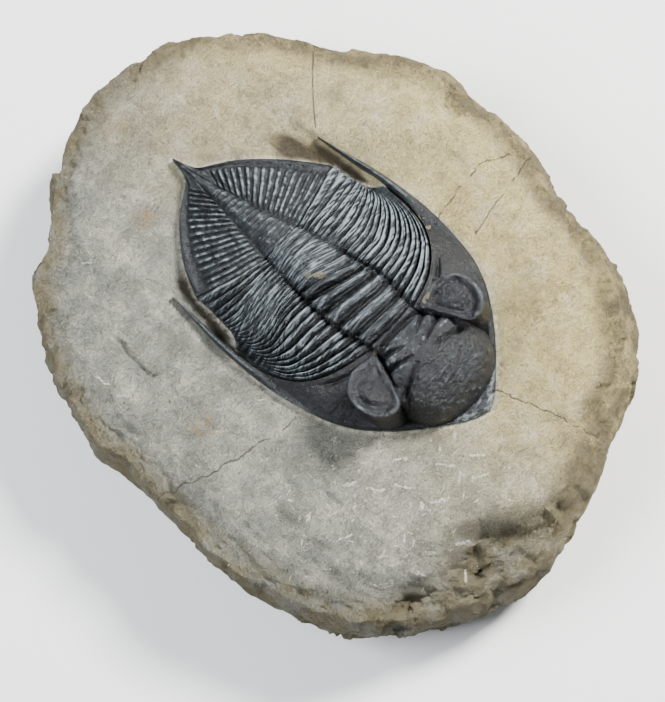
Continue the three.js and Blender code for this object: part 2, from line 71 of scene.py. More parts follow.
def mix(a: float | Array, b: float | Array, t: float | Array) -> Array:
    """Blends from a at t = 0 to b at t = 1."""
    return a + (b - a) * t


def through(stations: Stations, x: float | Array) -> Array:
    """Reads a smooth curve through stations.

    Args:
        stations: Pairs of a place and a value, in order of place.
        x: The places to read.

    Returns:
        The values, level beyond the first and last station.
    """
    places, values = np.array(stations, float).T
    before = np.maximum(np.arange(len(places)) - 1, 0)
    after = np.minimum(np.arange(len(places)) + 1, len(places) - 1)
    slopes = (values[after] - values[before]) / (places[after] - places[before])
    x = np.clip(x, places[0], places[-1])
    i = np.clip(np.searchsorted(places, x, side="right") - 1, 0, len(places) - 2)
    span = places[i + 1] - places[i]
    t = (x - places[i]) / span
    rise = (2 * t**3 - 3 * t**2 + 1) * values[i] + (3 * t**2 - 2 * t**3) * values[i + 1]
    return rise + span * ((t**3 - 2 * t**2 + t) * slopes[i] + (t**3 - t**2) * slopes[i + 1])


def distance_to_line(x: Array, y: Array, line: Sequence[tuple[float, float]]) -> Array:
    """Measures how far points lie from a line of straight pieces.

    Args:
        x: Across, in mm.
        y: Along, in mm.
        line: The line's corners.

    Returns:
        The distance from each point to the nearest piece.
    """
    least = np.full(np.shape(x), np.inf)
    for (ax, ay), (bx, by) in zip(line, line[1:]):
        dx, dy = bx - ax, by - ay
        t = np.clip(((x - ax) * dx + (y - ay) * dy) / (dx * dx + dy * dy + 1e-12), 0, 1)
        least = np.minimum(least, np.hypot(x - ax - t * dx, y - ay - t * dy))
    return least


def in_plan(x: Array, y: Array) -> Array:
    """Stacks x and y as points at height 0."""
    return np.stack([x, y, 0 * x], axis=1)


class Grain:
    """Seeded noise in space, for stone and shell surfaces."""

    primes = (73856093, 19349663, 83492791)
    layer_shift = 17.3
    layer_step = 2.03
    facet_stray = 0.42

    def __init__(self, seed: int) -> None:
        """Keeps the seed that all of its patterns start from."""
        self.seed = seed

    def draw(self, cell: Array, salt: int) -> Array:
        """Draws a number from -1 to 1 for each lattice cell.

        Args:
            cell: The cells' whole numbers, as rows.
            salt: Tells one pattern from another.

        Returns:
            A number for each cell.
        """
        mask = np.int64(0xFFFFFFFF)
        px, py, pz = self.primes
        h = cell[..., 0] * px ^ cell[..., 1] * py ^ cell[..., 2] * pz
        h = (h ^ ((self.seed * 31 + salt) * 40503)) & mask
        h = ((h ^ (h >> 13)) * 1274126177) & mask
        h = ((h ^ (h >> 16)) * 97531) & mask
        return ((h >> 7) & 0xFFFF) / 32767.5 - 1

    def soft(self, points: Array, size: float) -> Array:
        """Gives smooth noise whose lumps are about size across.

        Args:
            points: Points in mm.
            size: The width of a lump.

        Returns:
            Heights from about -1 to 1.
        """
        p = points / size
        cell = np.floor(p).astype(np.int64)
        t = p - cell
        t = t**3 * (t * (6 * t - 15) + 10)
        total = np.zeros(len(p))
        for corner in np.ndindex(2, 2, 2):
            pick = np.array(corner)
            weight = np.prod(np.where(pick == 1, t, 1 - t), axis=1)
            total += weight * self.draw(cell + pick, 0)
        return total

    def rough(self, points: Array, size: float, octaves: int, fade: float = 0.5) -> Array:
        """Adds finer and weaker layers of soft noise.

        Args:
            points: Points in mm.
            size: The width of the largest lumps.
            octaves: How many layers.
            fade: How strong each layer is beside the last.

        Returns:
            Heights from about -1.5 to 1.5.
        """
        layers = range(octaves)
        shift, step = self.layer_shift, self.layer_step
        return sum(fade**k * self.soft(points + shift * k, size / step**k) for k in layers)

    def flakes(self, points: Array, size: float) -> Array:
        """Gives the uneven facets of broken stone, each a tilted plane.

        Args:
            points: Points in mm.
            size: The usual width of a facet.

        Returns:
            Heights from about -1 to 1.
        """
        p = points / size
        cell = np.floor(p).astype(np.int64)
        nearest = np.full(len(p), np.inf)
        height = np.zeros(len(p))
        for step in np.ndindex(3, 3, 3):
            at = cell + np.array(step) - 1
            stray = np.stack([self.draw(at, k) for k in (1, 2, 3)], axis=1)
            away = p - (at + 0.5 + self.facet_stray * stray)
            gap = np.einsum("ij,ij->i", away, away)
            tilt = np.stack([self.draw(at, k) for k in (4, 5, 6)], axis=1)
            plane = 0.5 * self.draw(at, 7) + np.einsum("ij,ij->i", away, tilt)
            closer = gap < nearest
            nearest = np.where(closer, gap, nearest)
            height = np.where(closer, plane, height)
        return height


class Rail:
    """A smooth plan curve through points, read by a share of its stations."""

    def __init__(self, points: Sequence[tuple[float, float]], closed: bool = False) -> None:
        """Keeps the curve's points, with the ones before its start and after its end.

        Args:
            points: The points that the curve goes through.
            closed: Whether it is a loop.
        """
        p = np.array(points, float)
        self.count = len(p) if closed else len(p) - 1
        if closed:
            self.points = np.vstack([p[-1], p, p[0], p[1]])
        else:
            self.points = np.vstack([2 * p[0] - p[1], p, 2 * p[-1] - p[-2]])

    def __call__(self, share: float | Array) -> tuple[Array, Array]:
        """Gives x and y at a share of the curve.

        Args:
            share: 0 at the first point to 1 at the last, or round to the first on a loop.

        Returns:
            x and y.
        """
        place = np.clip(share, 0, 1) * self.count
        i = np.minimum(np.floor(place).astype(int), self.count - 1)
        t = (place - i)[..., None]
        a, b, c, d = (self.points[i + k] for k in range(4))
        bend = (2 * a - 5 * b + 4 * c - d) * t**2 + (3 * b - a - 3 * c + d) * t**3
        point = 0.5 * (2 * b + (c - a) * t + bend)
        return point[..., 0], point[..., 1]


class Side(Enum):
    """The two sides of the fossil, as the sign of x."""

    LEFT = -1
    RIGHT = 1


@dataclass
class Shell:
    """The form that all of the fossil's pieces share, in mm with its midline on x = 0."""

    segment_count: int = 11
    base_z: float = 25.3
    margin_z: float = 28.0
    top_z: float = 40.45
    cap_room: float = 0.5
    tip_y: float = 43.6
    rear_edge_share: float = 0.74
    ring_bulge: float = 0.8
    gap: float = 0.3
    joint_y: Sequence[float] = (-16.6, -13.1, -9.6, -6.1, -2.8, -0.3, 1.9, 4, 6.1, 8.1, 10.1, 12)
    joint_flare: Stations = ((0, 2.5), (5, 1.9), (8, 1.3), (11, 1))
    joint_bend: Stations = ((0, 1.4), (5, 1.9), (8, 1.8), (11, 1.35))
    head_margin: Stations = (
        (0, -40.2), (3, -38.9), (6.6, -36.2), (11, -32.4), (15.2, -28), (18.9, -23), (21.4, -17.6),
        (22.9, -11), (23.8, -4.2), (24, 2), (23.8, 8), (23.2, 14), (22.5, 19), (21.9, 23.8),
    )
    spine_inner_edge: Stations = (
        (22.4, 5.9), (22.38, 9.5), (22.15, 13.6), (21.87, 18.8), (21.72, 23.6),
    )
    joint_tips: Stations = (
        (22.1, 6.2), (21.72, 6.5), (21.35, 6.8), (21, 7.1), (20.68, 7.5), (20.4, 7.9), (20.15, 8.4),
        (19.95, 9.1), (19.75, 10.1), (19.55, 11.6), (19.2, 14.2), (18.9, 18.5),
    )
    tail_furrow: Stations = (
        (4.4, 12), (3.7, 15), (3.1, 18.2), (2.6, 21.8), (2.1, 25.4), (1.5, 29.5), (0.9, 33.6),
        (0.45, 38), (0.08, 43.4),
    )
    tail_margin: Stations = (
        (18.9, 18.5), (17, 22.2), (14.4, 26.4), (11.2, 30.4), (7.9, 33.8), (4.6, 36.2), (2, 38),
        (0.9, 40.3), (0.16, 43.6),
    )
    axis_half_width: Stations = (
        (-18, 5.4), (-12, 6.5), (-7, 6.9), (-2, 6.3), (3, 5.6), (8, 5), (12, 4.4), (17, 3.4), (22, 2.7),
        (26.5, 2), (30.5, 1.4), (36.2, 0.5), (43.4, 0.1),
    )
    axis_top: Stations = (
        (-18, 38.9), (-10, 39.7), (-2, 40), (6, 39), (12, 37.4), (18, 35.2), (26, 32.4), (32, 30.8),
        (36, 29.9), (39, 29.4), (43.6, 28.6),
    )
    furrow_depth: Stations = (
        (-18, 3), (-8, 3.5), (4, 3.4), (12, 2.5), (20, 1.9), (30, 1.1), (36, 0.5), (43.6, 0.2),
    )
    trunk_lean: Stations = (
        (-40, 0), (-23, 0.03), (5, 0.04), (16, 0.1), (26, 0.14), (36, 0.1), (43.6, 0),
    )
    head_lean_stations: int = 3
    axis_twist: Stations = (
        (-21, 0), (-16, 0.4), (-10.5, 0.75), (-6, 1.4), (-2.2, 2.3), (3, 1.4), (8, 0.5), (12, 0),
    )
    soil_spots: Sequence[tuple[float, float, float]] = (
        (-1, -0.3, 1.0), (-2.2, 1.6, 0.9), (8.4, -18.4, 1.5), (11.5, -17.4, 1.0), (21.2, -1, 0.7),
        (20.9, -4, 0.7), (20.6, -7, 0.6), (-6, -17.6, 0.7), (15.8, -19.5, 0.6),
    )
    grain: Grain = field(default_factory=lambda: Grain(7))

    def __post_init__(self) -> None:
        """Finds where the fossil lies in the frame."""
        low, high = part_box("head_shield")
        tail_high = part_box("tail_shield")[1]
        self.shift = np.array([(low[0] + high[0]) / 2, tail_high[1] - self.tip_y * MM, 0.0])

    def to_frame(self, points: Array) -> Array:
        """Turns fossil millimetres into the frame's metres."""
        return points * MM + self.shift

    def capped(self, z: Array) -> Array:
        """Eases heights off just below the fossil's greatest height.

        Args:
            z: Heights in mm.

        Returns:
            Heights that stay below top_z.
        """
        room = self.cap_room
        level = self.top_z - room
        return np.minimum(z, level) + room * np.tanh(np.maximum(0, z - level) / room)

    def joint_line(self, number: float | Array, across: Array) -> tuple[Array, Array, Array, Array]:
        """Follows a joint line between segments.

        Args:
            number: 0 at the head to segment_count at the tail.
            across: 0 on the midline to 1 at the right flank, or -1 at the left.

        Returns:
            x, y, the share of the flank and the share of the axis.
        """
        y = self.station(number)
        tip_x = through(list(enumerate(tip[0] for tip in self.joint_tips)), number)
        tip_y = through(list(enumerate(tip[1] for tip in self.joint_tips)), number)
        furrow_x = through(self.axis_half_width, y)
        reach = np.abs(across) * tip_x
        axis = np.minimum(1, reach / furrow_x)
        swing = np.clip((reach - furrow_x) / (tip_x - furrow_x), 0, 1)
        flank = 1 - (1 - swing) ** through(self.joint_flare, number)
        x = np.where(swing > 0, mix(furrow_x, tip_x, flank), reach)
        back = (tip_y - y) * swing ** through(self.joint_bend, number)
        return np.sign(across) * x, y + back - self.ring_bulge * (1 - axis**2), flank, axis

    def station(self, number: float | Array) -> Array:
        """Gives where a joint line crosses the midline."""
        return through(list(enumerate(self.joint_y)), number)

    def first_joint_share(self, x: Array) -> Array:
        """Gives the share of the first joint line's reach at which it has come out to x.

        Args:
            x: Across from the midline, in mm.

        Returns:
            The share, 0 on the midline to 1 at the flank's tip.
        """
        tip_x = self.joint_tips[0][0]
        furrow_x = through(self.axis_half_width, self.joint_y[0])
        flank = np.clip((x - furrow_x) / (tip_x - furrow_x), 0, 1)
        swing = 1 - (1 - flank) ** (1 / self.joint_flare[0][1])
        return np.where(x < furrow_x, x, mix(furrow_x, tip_x, swing)) / tip_x

    def back_height(self, y: Array, axis: Array, flank: Array, steepness: float) -> Array:
        """Gives the height of the unsculpted back.

        Args:
            y: Station along the axis.
            axis: 0 on the midline to 1 at the furrow beside the middle lobe.
            flank: 0 at that furrow to 1 at the margin.
            steepness: How late the flank falls off.

        Returns:
            Heights in mm.
        """
        crest = through(self.axis_top, y)
        furrow = crest - through(self.furrow_depth, y)
        lobe = mix(crest, furrow, axis**2.4)
        swell = 0.35 * np.sin(np.pi * np.minimum(1, flank * 2.5))
        return np.where(flank <= 0, lobe, mix(furrow, self.margin_z + 0.4, flank**steepness) + swell)

    def soil(self, x: Array, y: Array) -> Array:
        """Gives how much brown sediment is left on the shell.

        Args:
            x: Across, in mm.
            y: Along, in mm.

        Returns:
            0 where clean to 1 where covered.
        """
        ragged = 0.9 * self.grain.rough(in_plan(x, y) + 70, 0.9, 3)
        spots = [bell(np.hypot(x - px, y - py), 0, size) for px, py, size in self.soil_spots]
        nearest = np.max(spots, axis=0)
        return ease(0.45, 0.8, nearest + 0.4 * ragged * (nearest > 0.1))

    def leaned(self, x: Array, y: Array, head: bool = False) -> Array:
        """Slides y by how far the rock has pushed the fossil's sides and twisted its middle lobe.

        Args:
            x: Across, in mm.
            y: Along, in mm.
            head: Whether the points are the head's.

        Returns:
            The new y.
        """
        lean = self.trunk_lean[: self.head_lean_stations] if head else self.trunk_lean
        twist = through(self.axis_twist, y) * np.tanh(x / 5) * (1 - ease(10, 20, np.abs(x)))
        return y - through(lean, y) * x - twist


@dataclass
class FossilPiece:
    """What the fossil's pieces have in common: a surface closed down to a hidden base."""

    shell: Shell
    finish: bpy.types.Material

    def surface(self, name: str, columns: int, rows: int, shape: Callable,
                head: bool = False) -> bpy.types.Object:
        """Lays a grid on a surface and closes it down to the base.

        Args:
            name: The piece's name.
            columns: Cells across.
            rows: Cells along.
            shape: Gives x, y, z and the wear with painted light for u and v that run from 0 to 1.
            head: Whether it leans as the head does.

        Returns:
            The closed piece.
        """
        bpy.ops.object.select_all(action="DESELECT")
        bpy.ops.mesh.primitive_grid_add(x_subdivisions=columns, y_subdivisions=rows, size=2)
        piece = bpy.context.object
        piece.name = piece.data.name = name
        grid = read_points(piece)
        x, y, z, wear_and_painted_light = shape((grid[:, 0] + 1) / 2, (grid[:, 1] + 1) / 2)
        z = self.shell.capped(z)
        points = self.shell.to_frame(np.stack([x, self.shell.leaned(x, y, head), z], axis=1))
        write_points(piece, points)
        set_mask(piece, "wear_and_painted_light", wear_and_painted_light)
        set_mask(piece, "soil", self.shell.soil(x, y))
        bpy.ops.object.mode_set(mode="EDIT")
        bpy.ops.mesh.select_mode(type="EDGE")
        bpy.ops.mesh.select_all(action="DESELECT")
        bpy.ops.mesh.select_non_manifold()
        bpy.ops.mesh.extrude_region_move()
        bpy.ops.transform.resize(value=(1, 1, 0), center_override=(0, 0, self.shell.base_z * MM))
        bpy.ops.mesh.edge_face_add()
        bpy.ops.mesh.select_all(action="SELECT")
        bpy.ops.mesh.normals_make_consistent(inside=False)
        bpy.ops.object.mode_set(mode="OBJECT")
        return piece

    def finish_piece(self, piece: bpy.types.Object, *nodes: str) -> None:
        """Smooths and dresses a piece that stands for CAD nodes, and hides those nodes."""
        dress(piece, self.finish, "fossil_calcite", *nodes)


def read_points(piece: bpy.types.Object) -> Array:
    """Reads a mesh's points as rows of x, y and z.

    Args:
        piece: The object that has the mesh.

    Returns:
        The points.
    """
    flat = np.empty(len(piece.data.vertices) * 3)
    piece.data.vertices.foreach_get("co", flat)
    return flat.reshape(-1, 3)


def write_points(piece: bpy.types.Object, points: Array) -> None:
    """Moves a mesh's points."""
    piece.data.vertices.foreach_set("co", np.asarray(points, float).ravel())
    piece.data.update()


def set_mask(piece: bpy.types.Object, name: str, amount: Array) -> None:
    """Keeps a number from 0 to 1 at each point, such as wear with painted light, for the material."""
    layer = piece.data.attributes.new(name, "FLOAT", "POINT")
    layer.data.foreach_set("value", np.clip(amount, 0, 1).astype(float))


def dress(piece: bpy.types.Object, material: bpy.types.Material, slot: str, *nodes: str) -> None:
    """Gives a piece its material, smooth faces and its parent in the frame, and hides the CAD nodes
    that it replaces.

    Args:
        piece: The finished piece.
        material: Its finish.
        slot: Not used.
        nodes: The CAD nodes that it replaces.
    """
    piece.data.materials.clear()
    piece.data.materials.append(material)
    bpy.ops.object.select_all(action="DESELECT")
    piece.select_set(True)
    bpy.context.view_layer.objects.active = piece
    bpy.ops.object.shade_smooth_by_angle(angle=SMOOTH_ANGLE)
    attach(piece, BODY)
    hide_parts(*nodes)
    LOG.info("%s: %d faces, for %s", piece.name, len(piece.data.polygons), ", ".join(nodes))


@dataclass
class Groove:
    """A furrow in the glabella, from its outer to its inner end."""

    outer: tuple[float, float]
    inner: tuple[float, float]
    depth: float
    width: float

    def cut(self, x: Array, y: Array) -> Array:
        """Gives the furrow's depth at points, less towards its inner end.

        Args:
            x: Across, in mm.
            y: Along, in mm.

        Returns:
            Depths in mm.
        """
        (ax, ay), (bx, by) = self.outer, self.inner
        length = math.hypot(bx - ax, by - ay)
        inward = np.clip(((x - ax) * (bx - ax) + (y - ay) * (by - ay)) / length**2, 0, 1)
        off = distance_to_line(x, y, (self.outer, self.inner))
        return self.depth * (1 - 0.75 * inward) * bell(off, 0, self.width * (1 - 0.45 * inward))


@dataclass
class Eye:
    """One tall eye, its top a rimmed lobe and its outer wall set with lenses."""

    x: float = 11.9
    y: float = -23.2
    rim_z: float = 40.3
    inner_z: float = 38.6
    inner_x: float = 6.5
    level_x: float = 13
    plan: Stations = (
        (16.4, -23), (15.3, -19.6), (12.3, -17.8), (9.2, -17.8), (6.3, -18.3), (7.4, -21.9),
        (8.9, -25.6), (10.4, -28.4), (12.9, -29), (15.5, -26.8),
    )
    columns: int = 150
    rings: int = 84
    lens_pitch: float = 0.62
    lens_row_share: float = 0.87
    lens_stand: float = 0.028
    wall_radius: float = 4.8
    lens_band: Sequence[float] = (1.5, 2.0, 6.0, 6.6)
    rim_share: float = 0.66
    rim_break: float = 0.4
    pole_share: float = 1e-6
    profile: Sequence[tuple[float, float, float]] = (
        (0, 1.06, 10.8), (0.1, 0.96, 8.8), (0.22, 0.87, 6.2), (0.42, 0.9, 2.2), (0.5, 0.96, 1.1),
        (0.56, 1.0, 0.55), (0.61, 0.97, 0.2), (0.66, 0.9, 0.0), (0.71, 0.81, 0.05), (0.76, 0.71, 0.4),
        (0.81, 0.61, 0.7), (0.87, 0.46, 0.35), (0.94, 0.25, 0.08), (1, 0.0, 0.02),
    )

    def build(self, shell: Shell, side: Side) -> bpy.types.Object:
        """Shapes a sphere into the eye.

        Args:
            shell: The fossil's shared form.
            side: Which side of the head it is on.

        Returns:
            The eye, to be joined to the head.
        """
        bpy.ops.object.select_all(action="DESELECT")
        bpy.ops.mesh.primitive_uv_sphere_add(segments=self.columns, ring_count=self.rings, radius=1)
        piece = bpy.context.object
        x, y, z, wear_and_painted_light = self.shape(shell, side, read_points(piece))
        write_points(piece, shell.to_frame(np.stack([x, shell.leaned(x, y), z], axis=1)))
        set_mask(piece, "wear_and_painted_light", wear_and_painted_light)
        set_mask(piece, "soil", shell.soil(x, y))
        if side is Side.LEFT:
            piece.data.flip_normals()
        return piece

    def shape(self, shell: Shell, side: Side, ball: Array) -> tuple[Array, Array, Array, Array]:
        """Moves a ball's points to the eye's surface.

        Args:
            shell: The fossil's shared form.
            side: Which side of the head it is on.
            ball: The points of a ball of radius 1.

        Returns:
            x, y, z and wear with painted light.
        """
        along = 1 - np.arccos(np.clip(ball[:, 2], -1, 1)) / np.pi
        turn = np.arctan2(ball[:, 1], ball[:, 0])
        size = through([(s, r) for s, r, _ in self.profile], along)
        drop = through([(s, d) for s, _, d in self.profile], along)
        size = np.where(np.minimum(along, 1 - along) < self.pole_share, 0, size)
        lens = self.lenses(turn, drop) * ease(-0.25, 0.1, np.cos(turn))
        rim_x, rim_y = Rail(self.plan, closed=True)(turn / (2 * np.pi) % 1)
        stand = 1 + self.lens_stand * lens
        x = mix(self.x, rim_x, size * stand)
        y = mix(self.y, rim_y, size * stand)
        inner = np.clip((self.level_x - x) / (self.level_x - self.inner_x), 0, 1)
        z = mix(self.rim_z, self.inner_z, inner) - drop
        x_signed = x * side.value
        plain = in_plan(x_signed, y)
        grain = shell.grain
        dish = ease(self.rim_share, self.rim_share + 0.1, along)
        z = z + dish * (0.4 * grain.rough(plain, 2.6, 2) - 0.15 + 0.14 * grain.rough(plain, 1.0, 3))
        broken = ease(0.1, 0.6, grain.soft(plain + 9, 2.4)) * ease(0.6, self.rim_share, along)
        z = shell.capped(z - self.rim_break * broken * (1 - dish))
        # In the mask, the rim crest is lightened as a painted highlight, and the outer wall, near 0
        # apart from the lens tops, takes the deep colour as painted shade.
        crest = bell(along, 0.65, 0.05) * (1 - 0.9 * ease(0.3, 0.8, inner)) * (1 - broken)
        rubbed_and_highlit = 0.1 + 0.16 * grain.rough(plain, 1.3, 3)
        return x_signed, y, z, rubbed_and_highlit * ease(0.5, 0.62, along) + 0.4 * crest + 0.1 * lens

    def lenses(self, turn: Array, drop: Array) -> Array:
        """Gives the height, 0 to 1, of the lenses packed on the outer wall.

        Args:
            turn: Around the eye, in radians.
            drop: Down from its rim, in mm.

        Returns:
            0 between the lenses to 1 on their tops.
        """
        down = drop / (self.lens_pitch * self.lens_row_share)
        row = np.floor(down)
        off_row = down - row - 0.5
        arc = turn * self.wall_radius / self.lens_pitch + 0.5 * (row % 2)
        off_file = arc - np.floor(arc) - 0.5
        round_lens = 1 - ease(0.2, 0.48, np.hypot(off_row * self.lens_row_share, off_file))
        top, full, thin, foot = self.lens_band
        return round_lens * ease(top, full, drop) * (1 - ease(thin, foot, drop))


@dataclass
class HeadShield(FossilPiece):
    """The head shield, with its glabella, eyes, flat border and two long cheek spines."""

    columns: int = 440
    rows: int = 130
    rear_columns_share: float = 0.83
    glabella_half_width: Stations = (
        (-31, 11.2), (-29, 11.2), (-27, 10.6), (-25, 9), (-22.5, 7.3), (-20.5, 6.3), (-18.5, 5.5),
        (-16, 5.6),
    )
    glabella_crest: Stations = (
        (-36.3, 36.4), (-32, 37.8), (-28, 39), (-23, 39.9), (-18, 39.6), (-15, 38.8),
    )
    glabella_side_z: float = 37.3
    front_y: float = -29.0
    front_reach: float = 8.1
    front_half_width: float = 11.2
    saddle_z: float = 37.4
    cheek_rise: Stations = (
        (0, 0), (1.2, 0.75), (2.6, 0.8), (3.4, 0.75), (5.5, 2.3), (9.2, 5.8), (14, 7.9), (24, 8.4),
    )
    occipital_furrow_y: float = -18.5
    grooves: tuple[Groove, ...] = (
        Groove((6.3, -19.6), (1.9, -21.7), 2.1, 0.52),
        Groove((7.3, -22.3), (2.0, -24.3), 2.0, 0.5),
        Groove((10.4, -28.0), (2.4, -25.9), 1.9, 0.58),
    )
    side_lobes: Sequence[tuple[float, float, float]] = ((4.6, -23.1, 1.1), (4.4, -20.2, 0.9))
    ridge_pitch: float = 0.85
    spine_height: float = 1.15
    eye: Eye = field(default_factory=Eye)

    def __post_init__(self) -> None:
        """Prepares the head's two edges."""
        self.outer = Rail(self.shell.head_margin)
        self.spine = Rail(self.shell.spine_inner_edge)
        self.outline = list(zip(*self.outer(np.linspace(0, 1, 91))))

    def inner(self, share: Array) -> tuple[Array, Array]:
        """Gives the head's inner edge, facing the same share of its outer margin.

        Args:
            share: 0 on the midline to 1 at the spine's tip.

        Returns:
            x and y.
        """
        split = self.shell.rear_edge_share
        rear = np.clip(share / split, 0, 1)
        x, y, _, _ = self.shell.joint_line(0, rear)
        shift = self.shell.gap * (0.6 + 0.4 * rear)
        spine_x, spine_y = self.spine((share - split) / (1 - split))
        on_spine = share > split
        return np.where(on_spine, spine_x, x + shift * rear), np.where(on_spine, spine_y, y - shift)

    def glabella(self, x: Array, y: Array) -> tuple[Array, Array]:
        """Gives the glabella's height, and how far out on it each point is.

        Args:
            x: Across, in mm.
            y: Along, in mm.

        Returns:
            Heights in mm, and 0 at its middle to 1 at its edge.
        """
        wide = through(self.glabella_half_width, y)
        ahead = y < self.front_y
        round_front = np.hypot(x / self.front_half_width, (y - self.front_y) / self.front_reach)
        off = np.where(ahead, round_front, x / wide)
        low = self.shell.margin_z + 0.9
        foot = mix(low, self.glabella_side_z, ease(-29, -24, y))
        inside = np.maximum(0, 1 - np.minimum(off, 1) ** 2.6)
        return foot + (through(self.glabella_crest, y) - foot) * inside**0.56, off

    def relief(self, signed_x: Array, y: Array) -> tuple[Array, Array]:
        """Gives the head's height and its wear with painted light, without its spines and eyes.

        Args:
            signed_x: Across, in mm, less than 0 on the left.
            y: Along, in mm.

        Returns:
            Heights in mm, and wear with painted light.
        """
        shell = self.shell
        x = np.abs(signed_x)
        from_edge = distance_to_line(x, y, self.outline)
        z = shell.margin_z + through(self.cheek_rise, from_edge)
        z = z + 0.22 * bell(from_edge, 0.7, 0.45) - 0.3 * (1 - ease(0, 0.5, from_edge))
        rear = ease(-24, -16, y) * (1 - ease(-7, -1, y))
        _, edge_y, flank, axis = shell.joint_line(0, shell.first_joint_share(x))
        z = mix(z, shell.back_height(shell.joint_y[0], axis, flank, 2), rear)
        lobe, off = self.glabella(x, y)
        saddle = ease(-30.6, -27.5, y) * (1 - ease(9.5, 12.5, x)) * (1 - ease(-20, -17.5, y))
        z = np.maximum(z, mix(shell.margin_z, self.saddle_z, saddle))
        z = np.where(off < 1, np.maximum(lobe, mix(z, lobe, ease(-24, -18, y))), z)
        cut = sum(groove.cut(x, y) for groove in self.grooves) * (off < 1.05)
        cut = cut + 0.55 * bell(off, 1, 0.05) * ease(-33, -28, y)
        occipital_y = self.occipital_furrow_y - 0.5 * (x / 5.5) ** 2
        cut = cut + 1.5 * bell(y, occipital_y, 0.5) * (1 - ease(5, 7, x))
        cut = cut + 1.0 * bell(y, edge_y - 2.1, 0.55) * ease(7, 9, x) * (1 - ease(15, 18, x))
        points = np.stack([signed_x, y, z], axis=1)
        wobble = shell.grain.rough(points, 5, 2)
        front = (off < 0.98) * (1 - ease(-28, -25, y))
        ridged = np.sin(2 * np.pi * (y / self.ridge_pitch + 1.6 * wobble + 0.05 * x * x / 3))
        bumps = shell.grain.rough(points * np.array([0.8, 1.4, 1]), 0.8, 3)
        lobes = sum(bell(np.hypot(x - px, y - py), 0, size) for px, py, size in self.side_lobes)
        z = z - cut + (0.07 * ridged + 0.09 * bumps) * front + 0.04 * bumps + 0.35 * lobes
        uneven = shell.grain.rough(points + 30, 4.4, 2) * (off < 0.95)
        z = z + 0.12 * shell.grain.rough(points, 3.4, 2) * (1 - bell(from_edge, 0, 1)) + 0.3 * uneven
        shelf = ease(31, 34.5, -y) * (off > 1.03)
        crest = 0.26 * bell(from_edge, 0.5, 0.35) + 0.36 * shelf
        rear_lobes = ease(-27, -24, y) * (off < 1.02) + ease(-20, -18, y) * (x < 8)
        # Raised striae, bumps and side lobes are lighter, partly as rubbed wear and partly as painted
        # highlight.
        wear_and_painted_light = 0.04 + crest + (0.15 * ridged + 0.2 * bumps) * front + 0.22 * bumps + 0.16 * lobes
        wear_and_painted_light = wear_and_painted_light + 0.24 * np.minimum(1, rear_lobes) * (1 + 0.8 * bumps)
        # Painted shade: the grooves and furrows are darkened.
        wear_and_painted_light = wear_and_painted_light - 0.5 * np.minimum(1, cut)
        return z, wear_and_painted_light

    def shape(self, u: Array, v: Array) -> tuple[Array, Array, Array, Array]:
        """Lays the grid from the right spine's tip, round the snout, to the left one's.

        Args:
            u: 0 at one spine's tip to 1 at the other's.
            v: 0 at the margin to 1 at the inner edge.

        Returns:
            x, y, z and wear with painted light.
        """
        along = np.abs(2 * u - 1)
        split, share = self.rear_columns_share, self.shell.rear_edge_share
        t = np.where(along < split, along / split * share, mix(share, 1, (along - split) / (1 - split)))
        outer_x, outer_y = self.outer(t)
        inner_x, inner_y = self.inner(t)
        side = np.where(u < 0.5, -1, 1)
        x = mix(outer_x, inner_x, v) * side
        y = mix(outer_y, inner_y, v)
        z, wear_and_painted_light = self.relief(x, y)
        spine = ease(-6, 3, y)
        arch = self.spine_height * np.sin(np.pi * v) ** 0.8
        ridge = self.shell.margin_z + arch - 0.6 * ease(4, 26, y)
        ridge = ridge + 0.08 * self.shell.grain.rough(np.stack([x, y, z], axis=1), 1.4, 3)
        return x, y, mix(z, ridge, spine), mix(wear_and_painted_light, 0.3 + 0.25 * np.sin(np.pi * v) ** 4, spine)

    def build(self) -> None:
        """Makes the shield, joins both eyes to it and dresses it."""
        shield = self.surface("head_shield_relief", self.columns, self.rows, self.shape, head=True)
        eyes = [self.eye.build(self.shell, side) for side in Side]
        bpy.ops.object.select_all(action="DESELECT")
        for part in (*eyes, shield):
            part.select_set(True)
        bpy.context.view_layer.objects.active = shield
        bpy.ops.object.join()
        self.finish_piece(shield, "head_shield")


